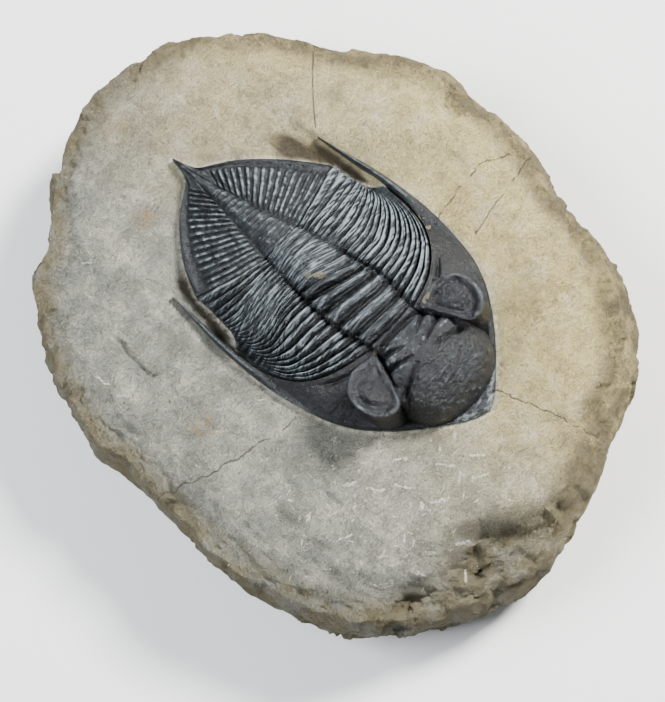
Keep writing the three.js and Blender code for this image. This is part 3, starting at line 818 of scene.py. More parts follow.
@dataclass
class ThoraxSegment(FossilPiece):
    """One jointed segment: a ring over the axis and a furrowed pleura on each side."""

    index: int = 0
    columns: int = 420
    rows: int = 26
    tip_gap: float = 0.2
    wander: float = 0.09
    forward_indices: tuple[int, int] = (3, 6)

    def sculpt(self, v: Array, axis: Array, flank: Array) -> Array:
        """Gives the segment's relief from its front edge, v = 0, to its rear edge.

        Args:
            v: 0 at the front edge to 1 at the rear edge.
            axis: The share of the middle lobe.
            flank: The share of the flank.

        Returns:
            Heights in mm.
        """
        roll = np.sin(np.pi * np.clip((v - 0.1) / 0.88, 0, 1)) ** 0.7
        ring = -1.15 + 1.4 * roll - 0.3 * bell(v, 0.3, 0.05)
        bands = 0.5 * bell(v, 0.27, 0.13) - 0.7 * bell(v, 0.49, 0.06) + 0.7 * bell(v, 0.74, 0.15)
        fine = -0.22 * bell(v, 0.14, 0.03) - 0.22 * bell(v, 0.88, 0.03) - 0.2 * bell(v, 0.66, 0.025)
        edges = -0.75 * bell(v, 0, 0.07) - 0.6 * bell(v, 1, 0.06)
        pleura = (bands + fine + edges) * (1 - 0.4 * ease(0.8, 1, flank))
        return np.where(flank > 0, pleura, mix(ring, pleura, axis**5))

    @staticmethod
    def glints(v: Array, axis: Array, flank: Array) -> Array:
        """Gives the painted highlights: thin bright lines along the segment's crests.

        Args:
            v: 0 at the front edge to 1 at the rear edge.
            axis: The share of the middle lobe.
            flank: The share of the flank.

        Returns:
            The lines' strength.
        """
        lines = bell(v, 0.22, 0.035) + 0.7 * bell(v, 0.36, 0.03) + 0.8 * bell(v, 0.58, 0.03)
        lines = lines + bell(v, 0.78, 0.04)
        ring = 0.5 * bell(v, 0.22, 0.04) + 0.8 * bell(v, 0.86, 0.045)
        return np.where(flank > 0, lines * (1 - 0.5 * ease(0.9, 1, flank)), mix(ring, lines, axis**5))

    def worn(self, x: Array, y: Array) -> Array:
        """Gives how far the shell has been rubbed smooth, on the rear rings and the left flank.

        Args:
            x: Across, in mm.
            y: Along, in mm.

        Returns:
            0 where sharp to 1 where smooth.
        """
        rings = np.hypot(x / 6.5, (y - 6.5) / 8.5)
        flank = np.hypot((x + 12) / 8, (y - 5.5) / 6)
        return np.maximum(1 - ease(0.75, 1.15, rings), 0.8 * (1 - ease(0.6, 1.1, flank)))

    def place(self, u: Array, v: Array) -> tuple[Array, Array, Array, Array, Array]:
        """Lays the grid between the joint lines before and after the segment.

        Args:
            u: 0 at the left flank's tip to 1 at the right one's.
            v: 0 at the front edge to 1 at the rear edge.

        Returns:
            x, y, the share of the axis, the share of the flank and the share of the segment's length.
        """
        shell = self.shell
        across = 2 * u - 1
        front_x, front_y, front_flank, front_axis = shell.joint_line(self.index, across)
        rear_x, rear_y, rear_flank, rear_axis = shell.joint_line(self.index + 1, across)
        clear = np.minimum(0.08, 0.05 / np.hypot(rear_x - front_x, rear_y - front_y))
        along = mix(clear, 1 - clear, v)
        outer = ease(0.6, 1, np.abs(across))
        rounded = 0.6 * v * (1 - v) * ease(0.93, 1, np.abs(across))
        x = mix(front_x, rear_x, along) * (1 - (self.tip_gap * outer - rounded) / 21)
        y = mix(front_y, rear_y, along) + rounded
        return x, y, mix(front_axis, rear_axis, along), mix(front_flank, rear_flank, along), along

    def shape(self, u: Array, v: Array) -> tuple[Array, Array, Array, Array]:
        """Gives the segment's x, y, z and wear with painted light.

        Args:
            u: 0 at the left to 1 at the right.
            v: 0 at the front edge to 1 at the rear edge.

        Returns:
            x, y, z and wear with painted light.
        """
        grain = self.shell.grain
        x, y, axis, flank, along = self.place(u, v)
        side = np.abs(2 * u - 1)
        flow = in_plan(x * 0.35, y * 1.2)
        wander = self.wander * grain.rough(flow, 3.2, 2) * np.sin(np.pi * v)
        strayed = np.clip(v + wander, 0, 1)
        uneven = 1 + 0.35 * grain.soft(flow + 60, 5)
        relief = self.sculpt(strayed, axis, flank) * uneven
        glints = self.glints(strayed, axis, flank)
        boss = 0.5 * bell(axis, 0.9, 0.08) * bell(v, 0.55, 0.28) * (flank < 0.05)
        pits = bell(axis, 0.8, 0.1) * bell(v, 0.1, 0.1) * (flank <= 0)
        worn = self.worn(x, y)
        forward = 1 - ease(*self.forward_indices, self.index)
        bold = 1 + 0.6 * forward * (1 - 0.5 * ease(0.5, 0.95, flank))
        relief = (relief * bold + boss - 0.9 * pits) * (1 - 0.78 * worn)
        streak = grain.rough(in_plan(x * 0.25, y * 2.4), 0.55, 2)
        z = self.shell.back_height(self.shell.station(self.index + along), axis, flank, 2) + relief
        z = z + (0.09 + 0.07 * worn) * streak * ease(0, 0.15, v)
        uneven = grain.rough(np.stack([x, y, z], axis=1), 4.2, 2)
        z = z + 0.16 * uneven * (1 - ease(0.8, 1, flank))
        z = np.maximum(z, self.shell.margin_z - 0.2) - 0.35 * ease(0.97, 1, side)
        beside = np.where(flank > 0, 1 + 2.5 * flank, axis)
        z = z - 0.6 * bell(beside, 1, 0.07) * (1 - worn)
        # Painted shade: the mask is lowered in the furrow beside the middle lobe.
        hollow = bell(beside, 1, 0.1)
        patchy = 0.5 + 0.5 * grain.rough(in_plan(x * 0.5, y * 2) + 11, 1.4, 3)
        # Painted shade on the front rings: there the mask becomes bands that are dark at each ring's
        # front and rear edge, in the gaps between rings.
        shaded = forward * (1 - ease(0, 0.1, flank))
        banded = 0.62 * ease(0.12, 0.45, v) * (1 - ease(0.88, 0.97, v)) + 0.24 * streak - 0.1
        # Raised parts are greyer, partly as rubbed wear and partly as painted light, and low parts
        # darker as painted shade; the glints are painted highlights.
        wear_and_painted_light = 0.32 + 0.34 * relief + 0.48 * glints * patchy * (1 - 0.6 * worn) + 0.32 * streak
        wear_and_painted_light = mix(wear_and_painted_light, banded, 0.85 * shaded)
        # Painted light: the right flank, x above 5 mm, is lightened.
        return x, y, z, wear_and_painted_light + 0.18 * worn - 0.3 * hollow + 0.16 * ease(5, 12, x)

    def build(self) -> None:
        """Makes and dresses the segment."""
        name = f"thorax_segment_{self.index + 1:02d}"
        piece = self.surface(f"{name}_relief", self.columns, self.rows, self.shape)
        self.finish_piece(piece, name)


@dataclass
class TailShield(FossilPiece):
    """The tail shield: a tapering ringed axis, ribbed flanks, a smooth rim and an end spine."""

    columns: int = 330
    rows: int = 280
    rib_count: int = 17
    ribs_end: float = 0.74
    axis_share: float = 0.26
    ring_height: float = 0.24
    rib_height: float = 0.42

    def shape(self, u: Array, v: Array) -> tuple[Array, Array, Array, Array]:
        """Lays the grid between the axis furrow and the margin, on both sides.

        Args:
            u: 0 at the left to 1 at the right.
            v: 0 at the front edge to 1 at the rear edge.

        Returns:
            x, y, z and wear with painted light.
        """
        shell = self.shell
        across = 2 * u - 1
        reach = np.abs(across)
        side = np.sign(across)
        furrow_x, furrow_y = Rail(shell.tail_furrow)(v)
        margin_x, margin_y = Rail(shell.tail_margin)(v)
        axis = np.minimum(1, reach / self.axis_share)
        flank = np.clip((reach - self.axis_share) / (1 - self.axis_share), 0, 1)
        wander = 0.1 * shell.grain.rough(in_plan(across * 6, v * 14), 2.2, 2)
        phase = self.rib_count * v / self.ribs_end + wander
        rib = np.sin(2 * np.pi * phase)
        split = bell(((phase + 0.25) % 1), 0.5, 0.06)
        ribbed = (1 - ease(self.ribs_end - 0.07, self.ribs_end, v)) * ease(0.0, 0.02, v)
        bulge = shell.ring_bulge * (1 - v) ** 2 * (1 - axis**2)
        power = mix(shell.joint_bend[-1][1], 1.1, ease(0, 0.3, v))
        x = np.where(flank > 0, mix(furrow_x, margin_x, flank), furrow_x * axis) * side
        y = np.where(flank > 0, mix(furrow_y, margin_y, flank**power), furrow_y - bulge)
        lobe = self.ring_height * rib * ribbed * (1 - axis**4)
        rim = 0.5 * bell(flank, 0.95, 0.045) - 0.4 * bell(flank, 0.85, 0.05)
        ends = ease(0, 0.1, flank) * (1 - ease(0.76, 0.87, flank))
        ribs = (self.rib_height * rib - 0.2 * split) * ribbed * ends
        smooth_rim = rim * (1 - ease(0.72, 0.86, v)) * ease(0, 0.05, v)
        flow = in_plan(x, y)
        skin = shell.grain.rough(flow * np.array([1.6, 0.8, 1]), 0.9, 3)
        z = shell.back_height(furrow_y, axis, flank, 1.8) + lobe + ribs + smooth_rim
        z = z + 0.06 * skin + 0.12 * shell.grain.rough(flow, 3.6, 2) * (1 - ease(0.85, 1, flank))
        lip = 0.35 * ease(0.985, 1, reach) * (1 - ease(0.8, 0.9, v))
        z = np.maximum(z, shell.margin_z - 0.2) - lip
        y = y + 0.05 * (1 - ease(0, 0.04, v))
        # Painted highlights: glints along each rib's crest.
        in_rib = (phase + 0.02) % 1
        glints = bell(in_rib, 0.2, 0.05) + 0.8 * bell(in_rib, 0.36, 0.04)
        # Raised lobes and ribs are greyer, partly as rubbed wear and partly as painted light.
        wear_and_painted_light = 0.37 + 0.45 * (lobe + ribs) - 0.12 * ease(0.86, 0.9, flank) + 0.22 * skin
        wear_and_painted_light = wear_and_painted_light + 0.32 * glints * ribbed * ends * (0.8 + 0.25 * skin)
        # Painted shade: the mask is lowered in the rim furrow and in the furrow beside the axis.
        beside = np.where(flank > 0, 1 + flank, axis)
        return x, y, z, wear_and_painted_light - 0.25 * bell(flank, 0.85, 0.05) - 0.25 * bell(beside, 1, 0.06)

    def build(self) -> None:
        """Makes and dresses the tail shield."""
        piece = self.surface("tail_shield_relief", self.columns, self.rows, self.shape)
        self.finish_piece(piece, "tail_shield")


@dataclass
class Chip:
    """A flake broken out of the rock's edge."""

    x: float
    y: float
    radius: float
    depth: float


@dataclass
class RockMatrix:
    """The limestone block that holds the fossil, rough on its sides and prepared on its top."""

    shell: Shell
    finish: bpy.types.Material
    top_z: float = 27.3
    rim_drop: float = 3.4
    waist_z: float = 17.0
    chamfer: float = 2.6
    foot_inset: float = 6.5
    columns: int = 620
    rings: int = 150
    top_share: float = 0.74
    foot_share: float = 0.93
    calm_reach: tuple[float, float] = (25, 42)
    calm_y: float = -1
    wall_inset: Stations = ((0.12, 0.9), (0.28, 0), (0.62, 0.9), (0.9, 4.55), (1, 6.5))
    wall_height: Stations = ((0, 1), (0.12, 0.86), (0.28, 0.66), (0.62, 0.3), (0.9, 0.07), (1, 0))
    outline: Stations = (
        (14.2, -60.5), (24, -57), (32.5, -50.5), (38, -43.2), (41.8, -34), (42.5, -27.5), (46, -17.5),
        (49.5, -8), (50.3, 3), (50.7, 14), (46.8, 25), (40.2, 36.6), (35.6, 45.8), (32.8, 52),
        (23.4, 62.8), (15.8, 66.6), (7.5, 69.8), (-1, 70.8), (-10.6, 69), (-18.4, 65.7), (-25.2, 61),
        (-31.2, 56.2), (-38, 54), (-44, 48), (-50, 39.8), (-54, 28.6), (-57, 20), (-56.2, 10.8),
        (-57.8, -5), (-58.6, -16), (-56.2, -33), (-51, -46.5), (-41, -56), (-30, -63.4), (-17.5, -67),
        (-2.5, -65.3),
    )
    chips: tuple[Chip, ...] = (
        Chip(-24, -63, 17, 7), Chip(-40, -58, 12, 5), Chip(-9, -68, 9, 3.5), Chip(52, 2, 11, 3.5),
        Chip(46, -31, 9, 3), Chip(-58, 33, 10, 2.5), Chip(38, 52, 9, 2),
    )
    fold: Stations = (
        (-35.5, 31), (-36.4, 27), (-36, 22.5), (-36.7, 17.5), (-34.6, 14.2), (-33.9, 10), (-31.9, 4.9),
    )
    lee_lines: tuple[Stations, Stations] = (
        ((17.2, 27), (18.8, 21), (20.5, 12)), ((-18, 24), (-19.5, 19), (-20.5, 12)),
    )
    spine_line: Stations = ((-60, 22.4), (13.6, 22.15), (23.6, 21.72))
    far_out: float = -50
    grain: Grain = field(default_factory=lambda: Grain(23))

    def footprint(self) -> list[tuple[float, float]]:
        """Gives the fossil's outline on the rock, without the cheek spines.

        Returns:
            The outline's corners, in mm.
        """
        shell = self.shell
        x, y = Rail(shell.tail_margin)(np.linspace(0, 1, 40))
        flank = [*shell.joint_tips, *zip(x[1:], y[1:])]
        margin_x, margin_y = Rail(shell.head_margin)(np.linspace(0, shell.rear_edge_share, 50))
        right = [*zip(margin_x, margin_y), *flank]
        left = [(-px, py) for px, py in reversed(right)]
        return [(px, float(shell.leaned(px, py))) for px, py in [*right, *left]]

    def under(self, x: Array, y: Array) -> Array:
        """Measures how far in under the fossil's edge points lie, less than 0 outside it.

        Args:
            x: Across, in mm.
            y: Along, in mm.

        Returns:
            Distances in mm.
        """
        edge = self.footprint()
        inside = np.zeros(len(x), bool)
        for (ax, ay), (bx, by) in zip(edge, edge[1:] + edge[:1]):
            crosses = (ay > y) != (by > y)
            inside ^= crosses & (x < (bx - ax) * (y - ay) / (by - ay + 1e-12) + ax)
        return np.where(inside, 1, -1) * distance_to_line(x, y, edge + edge[:1])

    def from_fossil(self, x: Array, y: Array) -> Array:
        """Gives how far out points lie, as a share of the calm ground about the fossil."""
        return np.hypot(x / self.calm_reach[0], (y - self.calm_y) / self.calm_reach[1])

    def top(self, x: Array, y: Array, share: Array) -> Array:
        """Gives the height of the rock's top, before its fine grain.

        Args:
            x: Across, in mm.
            y: Along, in mm.
            share: 0 at the middle to 1 at the rim.

        Returns:
            Heights in mm.
        """
        near = self.from_fossil(x, y)
        z = self.top_z + 1.1 * ease(1, 1.45, near)
        hollow = distance_to_line(np.abs(x), y, ((21, 12), (17.5, 25)))
        z = z - 1.5 * bell(hollow, 0, 3.2) - self.rim_drop * ease(0.72, 1, share) ** 1.5
        z = z + 0.5 * np.sin(x * 0.17 + 1.3) * np.sin(y * 0.13 + 0.4) * ease(1.1, 1.6, near)
        ragged = 0.8 * self.grain.rough(in_plan(x, y), 3, 2)
        folded = distance_to_line(x + ragged, y, self.fold)
        beside = (x + ragged < -36) * ease(4, 8, y) * (1 - ease(28, 31, y))
        z = z - (0.4 * bell(folded, 0, 0.4) + 0.35 * beside * bell(folded, 0, 4)) * (share < 0.97)
        for chip in self.chips:
            z = z - chip.depth * self.chipped(chip, x, y)
        return np.maximum(z, self.waist_z + 0.6)

    def chipped(self, chip: Chip, x: Array, y: Array) -> Array:
        """Gives how far into a chip's scar each point lies, from 0 to 1."""
        ragged = 1.6 * self.grain.soft(in_plan(x, y), 6)
        return 1 - ease(0.45, 0.96, (np.hypot(x - chip.x, y - chip.y) + ragged) / chip.radius)

    def scarred(self, x: Array, y: Array) -> Array:
        """Gives how far into any chip's scar each point lies, from 0 to 1."""
        return np.max([self.chipped(chip, x, y) for chip in self.chips], axis=0)

    def build(self) -> None:
        """Shapes a sphere into the block, sinks it under the fossil and dresses it."""
        bpy.ops.object.select_all(action="DESELECT")
        bpy.ops.mesh.primitive_uv_sphere_add(segments=self.columns, ring_count=self.rings, radius=1)
        piece = bpy.context.object
        piece.name = piece.data.name = "rock_matrix_surface"
        smooth, outward, fall = self.smooth(read_points(piece))
        on_top = fall <= 0
        x, y, _ = smooth.T
        points = self.weathered(smooth, outward, fall)
        under = np.where(on_top, self.under(points[:, 0], points[:, 1]), self.far_out)
        sunk = np.minimum(points[:, 2], self.shell.base_z + 0.6)
        points[:, 2] = mix(points[:, 2], sunk, ease(0.3, 1.6, under))
        write_points(piece, self.shell.to_frame(points))
        set_mask(piece, "edge", np.maximum(self.scarred(x, y), ease(0.88, 0.98, outward)))
        set_mask(piece, "darker_hollows", self.hollow_darkening(x, y) * on_top)
        set_mask(piece, "seam", bell(under, -0.25, 0.5))
        dress(piece, self.finish, "limestone", "rock_matrix")

    def smooth(self, ball: Array) -> tuple[Array, Array, Array]:
        """Moves a ball's points to the unweathered block.

        Args:
            ball: The points of a ball of radius 1.

        Returns:
            The block's points, how far out they lie on its top (1 on its sides), and how far down
            its sides, 0 at the rim to 1 below the middle.
        """
        down = np.arccos(np.clip(ball[:, 2], -1, 1)) / np.pi
        turn = np.arctan2(ball[:, 1], ball[:, 0]) % (2 * np.pi)
        rim_x, rim_y = Rail(self.outline, closed=True)(turn / (2 * np.pi))
        reach = np.hypot(rim_x, rim_y)
        on_top = down <= self.top_share
        outward = np.clip(down / self.top_share, 0, 1)
        outward = mix(outward, outward**0.75, 0.6)
        chamfer = (self.chamfer + 0.5 * np.sin(turn * 5)) / reach
        fall = np.clip((down - self.top_share) / (1 - self.top_share), 0, 1)
        on_wall = fall < self.foot_share
        inset = through([(0, self.chamfer), *self.wall_inset], fall / self.foot_share)
        bottom = np.clip((fall - self.foot_share) / (1 - self.foot_share), 0, 1)
        share = np.where(on_top, outward * (1 - chamfer), 1 - inset / reach)
        share = np.where(on_wall, share, (1 - self.foot_inset / reach) * (1 - bottom))
        x, y = rim_x * share, rim_y * share
        rim_top = self.top(rim_x * (1 - chamfer), rim_y * (1 - chamfer), np.ones(len(x)))
        side_z = rim_top * through(self.wall_height, fall / self.foot_share)
        z = np.where(on_wall, np.where(on_top, self.top(x, y, outward), side_z), 0)
        return np.stack([x, y, z], axis=1), np.where(on_top, outward, 1), fall

    def hollow_darkening(self, x: Array, y: Array) -> Array:
        """Gives the dark brown darkening in the hollows between the spines and the thorax.

        Args:
            x: Across, in mm.
            y: Along, in mm.

        Returns:
            The darkening's strength.
        """
        right, left = (distance_to_line(x, y, line) for line in self.lee_lines)
        lee = np.minimum(right, 1.5 * left)
        brushed = 0.45 * self.grain.rough(in_plan(x, y) * np.array([1, 0.35, 1]), 2.2, 3)
        outside = ease(0.3, 1.4, np.abs(x) - through(self.spine_line, y)) * (1 - ease(22, 25, y))
        return (bell(lee, 0, 3.6) + brushed * bell(lee, 3, 3)) * (1 - outside)

    def weathered(self, points: Array, outward: Array, fall: Array) -> Array:
        """Roughens the block: fine lumps on top, broken facets round its edge.

        Args:
            points: The smooth block's points.
            outward: 0 at the middle of the top to 1 at its rim.
            fall: 0 at the rim to 1 below the middle.

        Returns:
            The roughened points.
        """
        edge = ease(0.84, 1, outward) * (1 - ease(0.85, 0.93, fall))
        facets = self.grain.flakes(points, 9)
        small = self.grain.flakes(points + 40, 3.6)
        lumps = self.grain.rough(points, 14, 3)
        fine = self.grain.rough(points, 2.6, 3)
        flat = np.hypot(points[:, 0], points[:, 1]) + 1e-9
        push = np.minimum(edge * (-0.5 + 0.75 * facets + 0.35 * small + 0.3 * fine - 0.4), 0)
        out = points.copy()
        out[:, 0] += push * points[:, 0] / flat
        out[:, 1] += push * points[:, 1] / flat
        calm = 0.35 + 0.65 * ease(1, 1.4, self.from_fossil(points[:, 0], points[:, 1]))
        terrace = 0.34 * np.tanh(6 * self.grain.soft(points + 90, 11))
        terrace = terrace + 0.2 * np.tanh(7 * self.grain.soft(points + 150, 4.6))
        scars = self.scarred(points[:, 0], points[:, 1])
        pocked = -0.22 * ease(0.25, 0.6, self.grain.rough(points + 220, 1.5, 2))
        relief = 0.28 * lumps + 0.2 * fine + 0.25 * small * ease(0.6, 1, outward) + terrace + pocked
        relief = relief + scars * (1.2 * facets + 0.5 * small + 0.4 * fine)
        top = (1 - ease(0, 0.1, fall)) * calm
        out[:, 2] += top * relief + 0.5 * edge * (facets - 0.6) * (1 - ease(0.1, 0.3, fall))
        return out


class Wire:
    """A socket's value in a material, with arithmetic that adds Math nodes."""

    def __init__(self, paint: "Paint", socket: bpy.types.NodeSocket) -> None:
        """Keeps the socket and the material that it belongs to."""
        self.paint = paint
        self.socket = socket

    def math(self, operation: str, *values: "Wire | float") -> "Wire":
        """Adds a Math node.

        Args:
            operation: The node's operation.
            values: What goes into its sockets, in order.

        Returns:
            The result.
        """
        inputs = dict(enumerate(values))
        return self.paint.add("ShaderNodeMath", {"operation": operation}, inputs)

    def __add__(self, other: "Wire | float") -> "Wire":
        """Adds."""
        return self.math("ADD", self, other)

    def __sub__(self, other: "Wire | float") -> "Wire":
        """Subtracts."""
        return self.math("SUBTRACT", self, other)

    def __rsub__(self, other: "Wire | float") -> "Wire":
        """Subtracts this from a number."""
        return self.math("SUBTRACT", other, self)

    def __mul__(self, other: "Wire | float") -> "Wire":
        """Multiplies."""
        return self.math("MULTIPLY", self, other)

    def __pow__(self, other: "Wire | float") -> "Wire":
        """Raises to a power."""
        return self.math("POWER", self, other)

    __radd__ = __add__
    __rmul__ = __mul__

    def least(self, other: "Wire | float") -> "Wire":
        """Gives the smaller of two values."""
        return self.math("MINIMUM", self, other)

    def most(self, other: "Wire | float") -> "Wire":
        """Gives the larger of two values."""
        return self.math("MAXIMUM", self, other)

    def ease(self, low: float, high: float) -> "Wire":
        """Gives a smooth rise from 0 at low to 1 at high."""
        settings = {"interpolation_type": "SMOOTHSTEP"}
        return self.paint.add("ShaderNodeMapRange", settings, {0: self, 1: low, 2: high})


Colour = tuple[float, float, float]


class Paint:
    """One procedural material while its nodes are laid."""

    def __init__(self, name: str) -> None:
        """Starts a material with its shader and object coordinates.

        Args:
            name: The material's name.
        """
        self.material = bpy.data.materials.new(name)
        self.material.use_nodes = True
        self.tree = self.material.node_tree
        self.shader = self.tree.nodes["Principled BSDF"]
        self.place = self.add("ShaderNodeTexCoord", output="Object")

    def add(self, kind: str, settings: dict | None = None, inputs: dict | None = None,
            output: int | str = 0) -> Wire:
        """Adds a node.

        Args:
            kind: The node's type.
            settings: Its properties, which are set first.
            inputs: A value or a wire for each socket, by number or name.
            output: Which output to give back.

        Returns:
            The output's wire.
        """
        node = self.tree.nodes.new(kind)
        for key, value in (settings or {}).items():
            setattr(node, key, value)
        for key, value in (inputs or {}).items():
            self.feed(node.inputs[key], value)
        return Wire(self, node.outputs[output])

    def feed(self, socket: bpy.types.NodeSocket, value: "Wire | float | Colour") -> None:
        """Links a wire to a socket or sets the socket's own value.

        Args:
            socket: The socket to feed.
            value: A wire, a number or a colour.
        """
        if isinstance(value, Wire):
            self.tree.links.new(value.socket, socket)
        elif socket.type == "RGBA":
            socket.default_value = (*value, 1)
        else:
            socket.default_value = value

    def mask(self, name: str) -> Wire:
        """Reads a number that is kept at the mesh's points."""
        return self.add("ShaderNodeAttribute", {"attribute_name": name}, output="Fac")

    def axis(self, number: int) -> Wire:
        """Reads the place's x, y or z, by its number."""
        return self.add("ShaderNodeSeparateXYZ", None, {"Vector": self.place}, number)

    def vector(self, operation: str, *values: "Wire | Colour", output: int | str = 0) -> Wire:
        """Adds a Vector Math node."""
        inputs = dict(enumerate(values))
        return self.add("ShaderNodeVectorMath", {"operation": operation}, inputs, output)

    def noise(self, scale: float, detail: float = 3, rough: float = 0.5,
              at: Wire | None = None, warp: float = 0) -> Wire:
        """Adds noise from 0 to 1, with scale lumps per metre."""
        inputs = {"Vector": at or self.place, "Scale": scale, "Detail": detail, "Roughness": rough}
        return self.add("ShaderNodeTexNoise", None, {**inputs, "Distortion": warp}, "Fac")

    def mapped(self, scale: Colour, turn: float, at: Wire | None = None) -> Wire:
        """Turns the coordinates about z and stretches them."""
        inputs = {"Vector": at or self.place, "Rotation": (0, 0, turn), "Scale": scale}
        return self.add("ShaderNodeMapping", {"vector_type": "TEXTURE"}, inputs)

    def blend(self, share: Wire, a: "Wire | Colour", b: "Wire | Colour") -> Wire:
        """Mixes two colours."""
        return self.add("ShaderNodeMix", {"data_type": "RGBA"}, {"Factor": share, 6: a, 7: b}, 2)

    def coats(self, base: "Wire | Colour", *coats: "tuple[Wire, Colour]") -> Wire:
        """Lays colours over a base, each by its own share, the last one on top.

        Args:
            base: The colour below.
            coats: A share and a colour for each layer.

        Returns:
            The colour.
        """
        for share, colour in coats:
            base = self.blend(share, base, colour)
        return base

    def bumps(self, *layers: tuple[Wire, float]) -> Wire:
        """Turns heights, each with its depth in metres, into one bumped normal.

        Args:
            layers: A height and a depth for each layer.

        Returns:
            The normal.
        """
        normal = {}
        for height, depth in layers:
            inputs = {"Height": height, "Distance": depth, "Strength": 1.0, **normal}
            normal = {"Normal": self.add("ShaderNodeBump", None, inputs)}
        return normal["Normal"]

    def put(self, **sockets: "Wire | float | Colour") -> None:
        """Feeds the shader's sockets, named with _ for a space."""
        for name, value in sockets.items():
            self.feed(self.shader.inputs[name.replace("_", " ")], value)


@dataclass(frozen=True)
class FossilCalcite:
    """Blue-black mineralised shell, satin, greyer where it is raised and rubbed, with painted
    highlights on crests and painted shade in furrows.
    """

    deep: Colour = (0.0045, 0.005, 0.0058)
    body: Colour = (0.011, 0.0142, 0.017)
    rubbed_and_highlit: Colour = (0.27, 0.31, 0.335)
    soil: Colour = (0.13, 0.11, 0.07)
    gloss: float = 0.42

    def material(self) -> bpy.types.Material:
        """Makes the finish.

        Returns:
            The material.
        """
        paint = Paint("calcite_shell")
        wear_and_painted_light, soil = paint.mask("wear_and_painted_light"), paint.mask("soil")
        mottle = paint.noise(900, 5, 0.6)
        cloud = paint.noise(90, 3, 0.5)
        speck = paint.noise(3400, 3, 0.6)
        raised = wear_and_painted_light + (mottle - 0.5) * 0.5 + (speck - 0.5) * 0.5 + (cloud - 0.5) * 0.3
        soiled = (soil + (speck - 0.5) * 0.6).ease(0.35, 0.65) * 0.75
        # The wear-and-light mask sets the colour: low values give the deep colour, painted shade in
        # furrows, and high values give the pale colour, rubbed wear and painted highlights on crests.
        colour = paint.coats(
            self.deep,
            (raised.ease(0.0, 0.4), self.body),
            (raised.ease(0.4, 1.0) * 0.8, self.rubbed_and_highlit),
            (soiled, self.soil),
        )
        rough = 0.2 + mottle * 0.2 + soiled * 0.4
        normal = paint.bumps((mottle, 0.0007), (speck, 0.0003))
        paint.put(Base_Color=colour, Roughness=rough, Normal=normal, Specular_IOR_Level=self.gloss)
        return paint.material


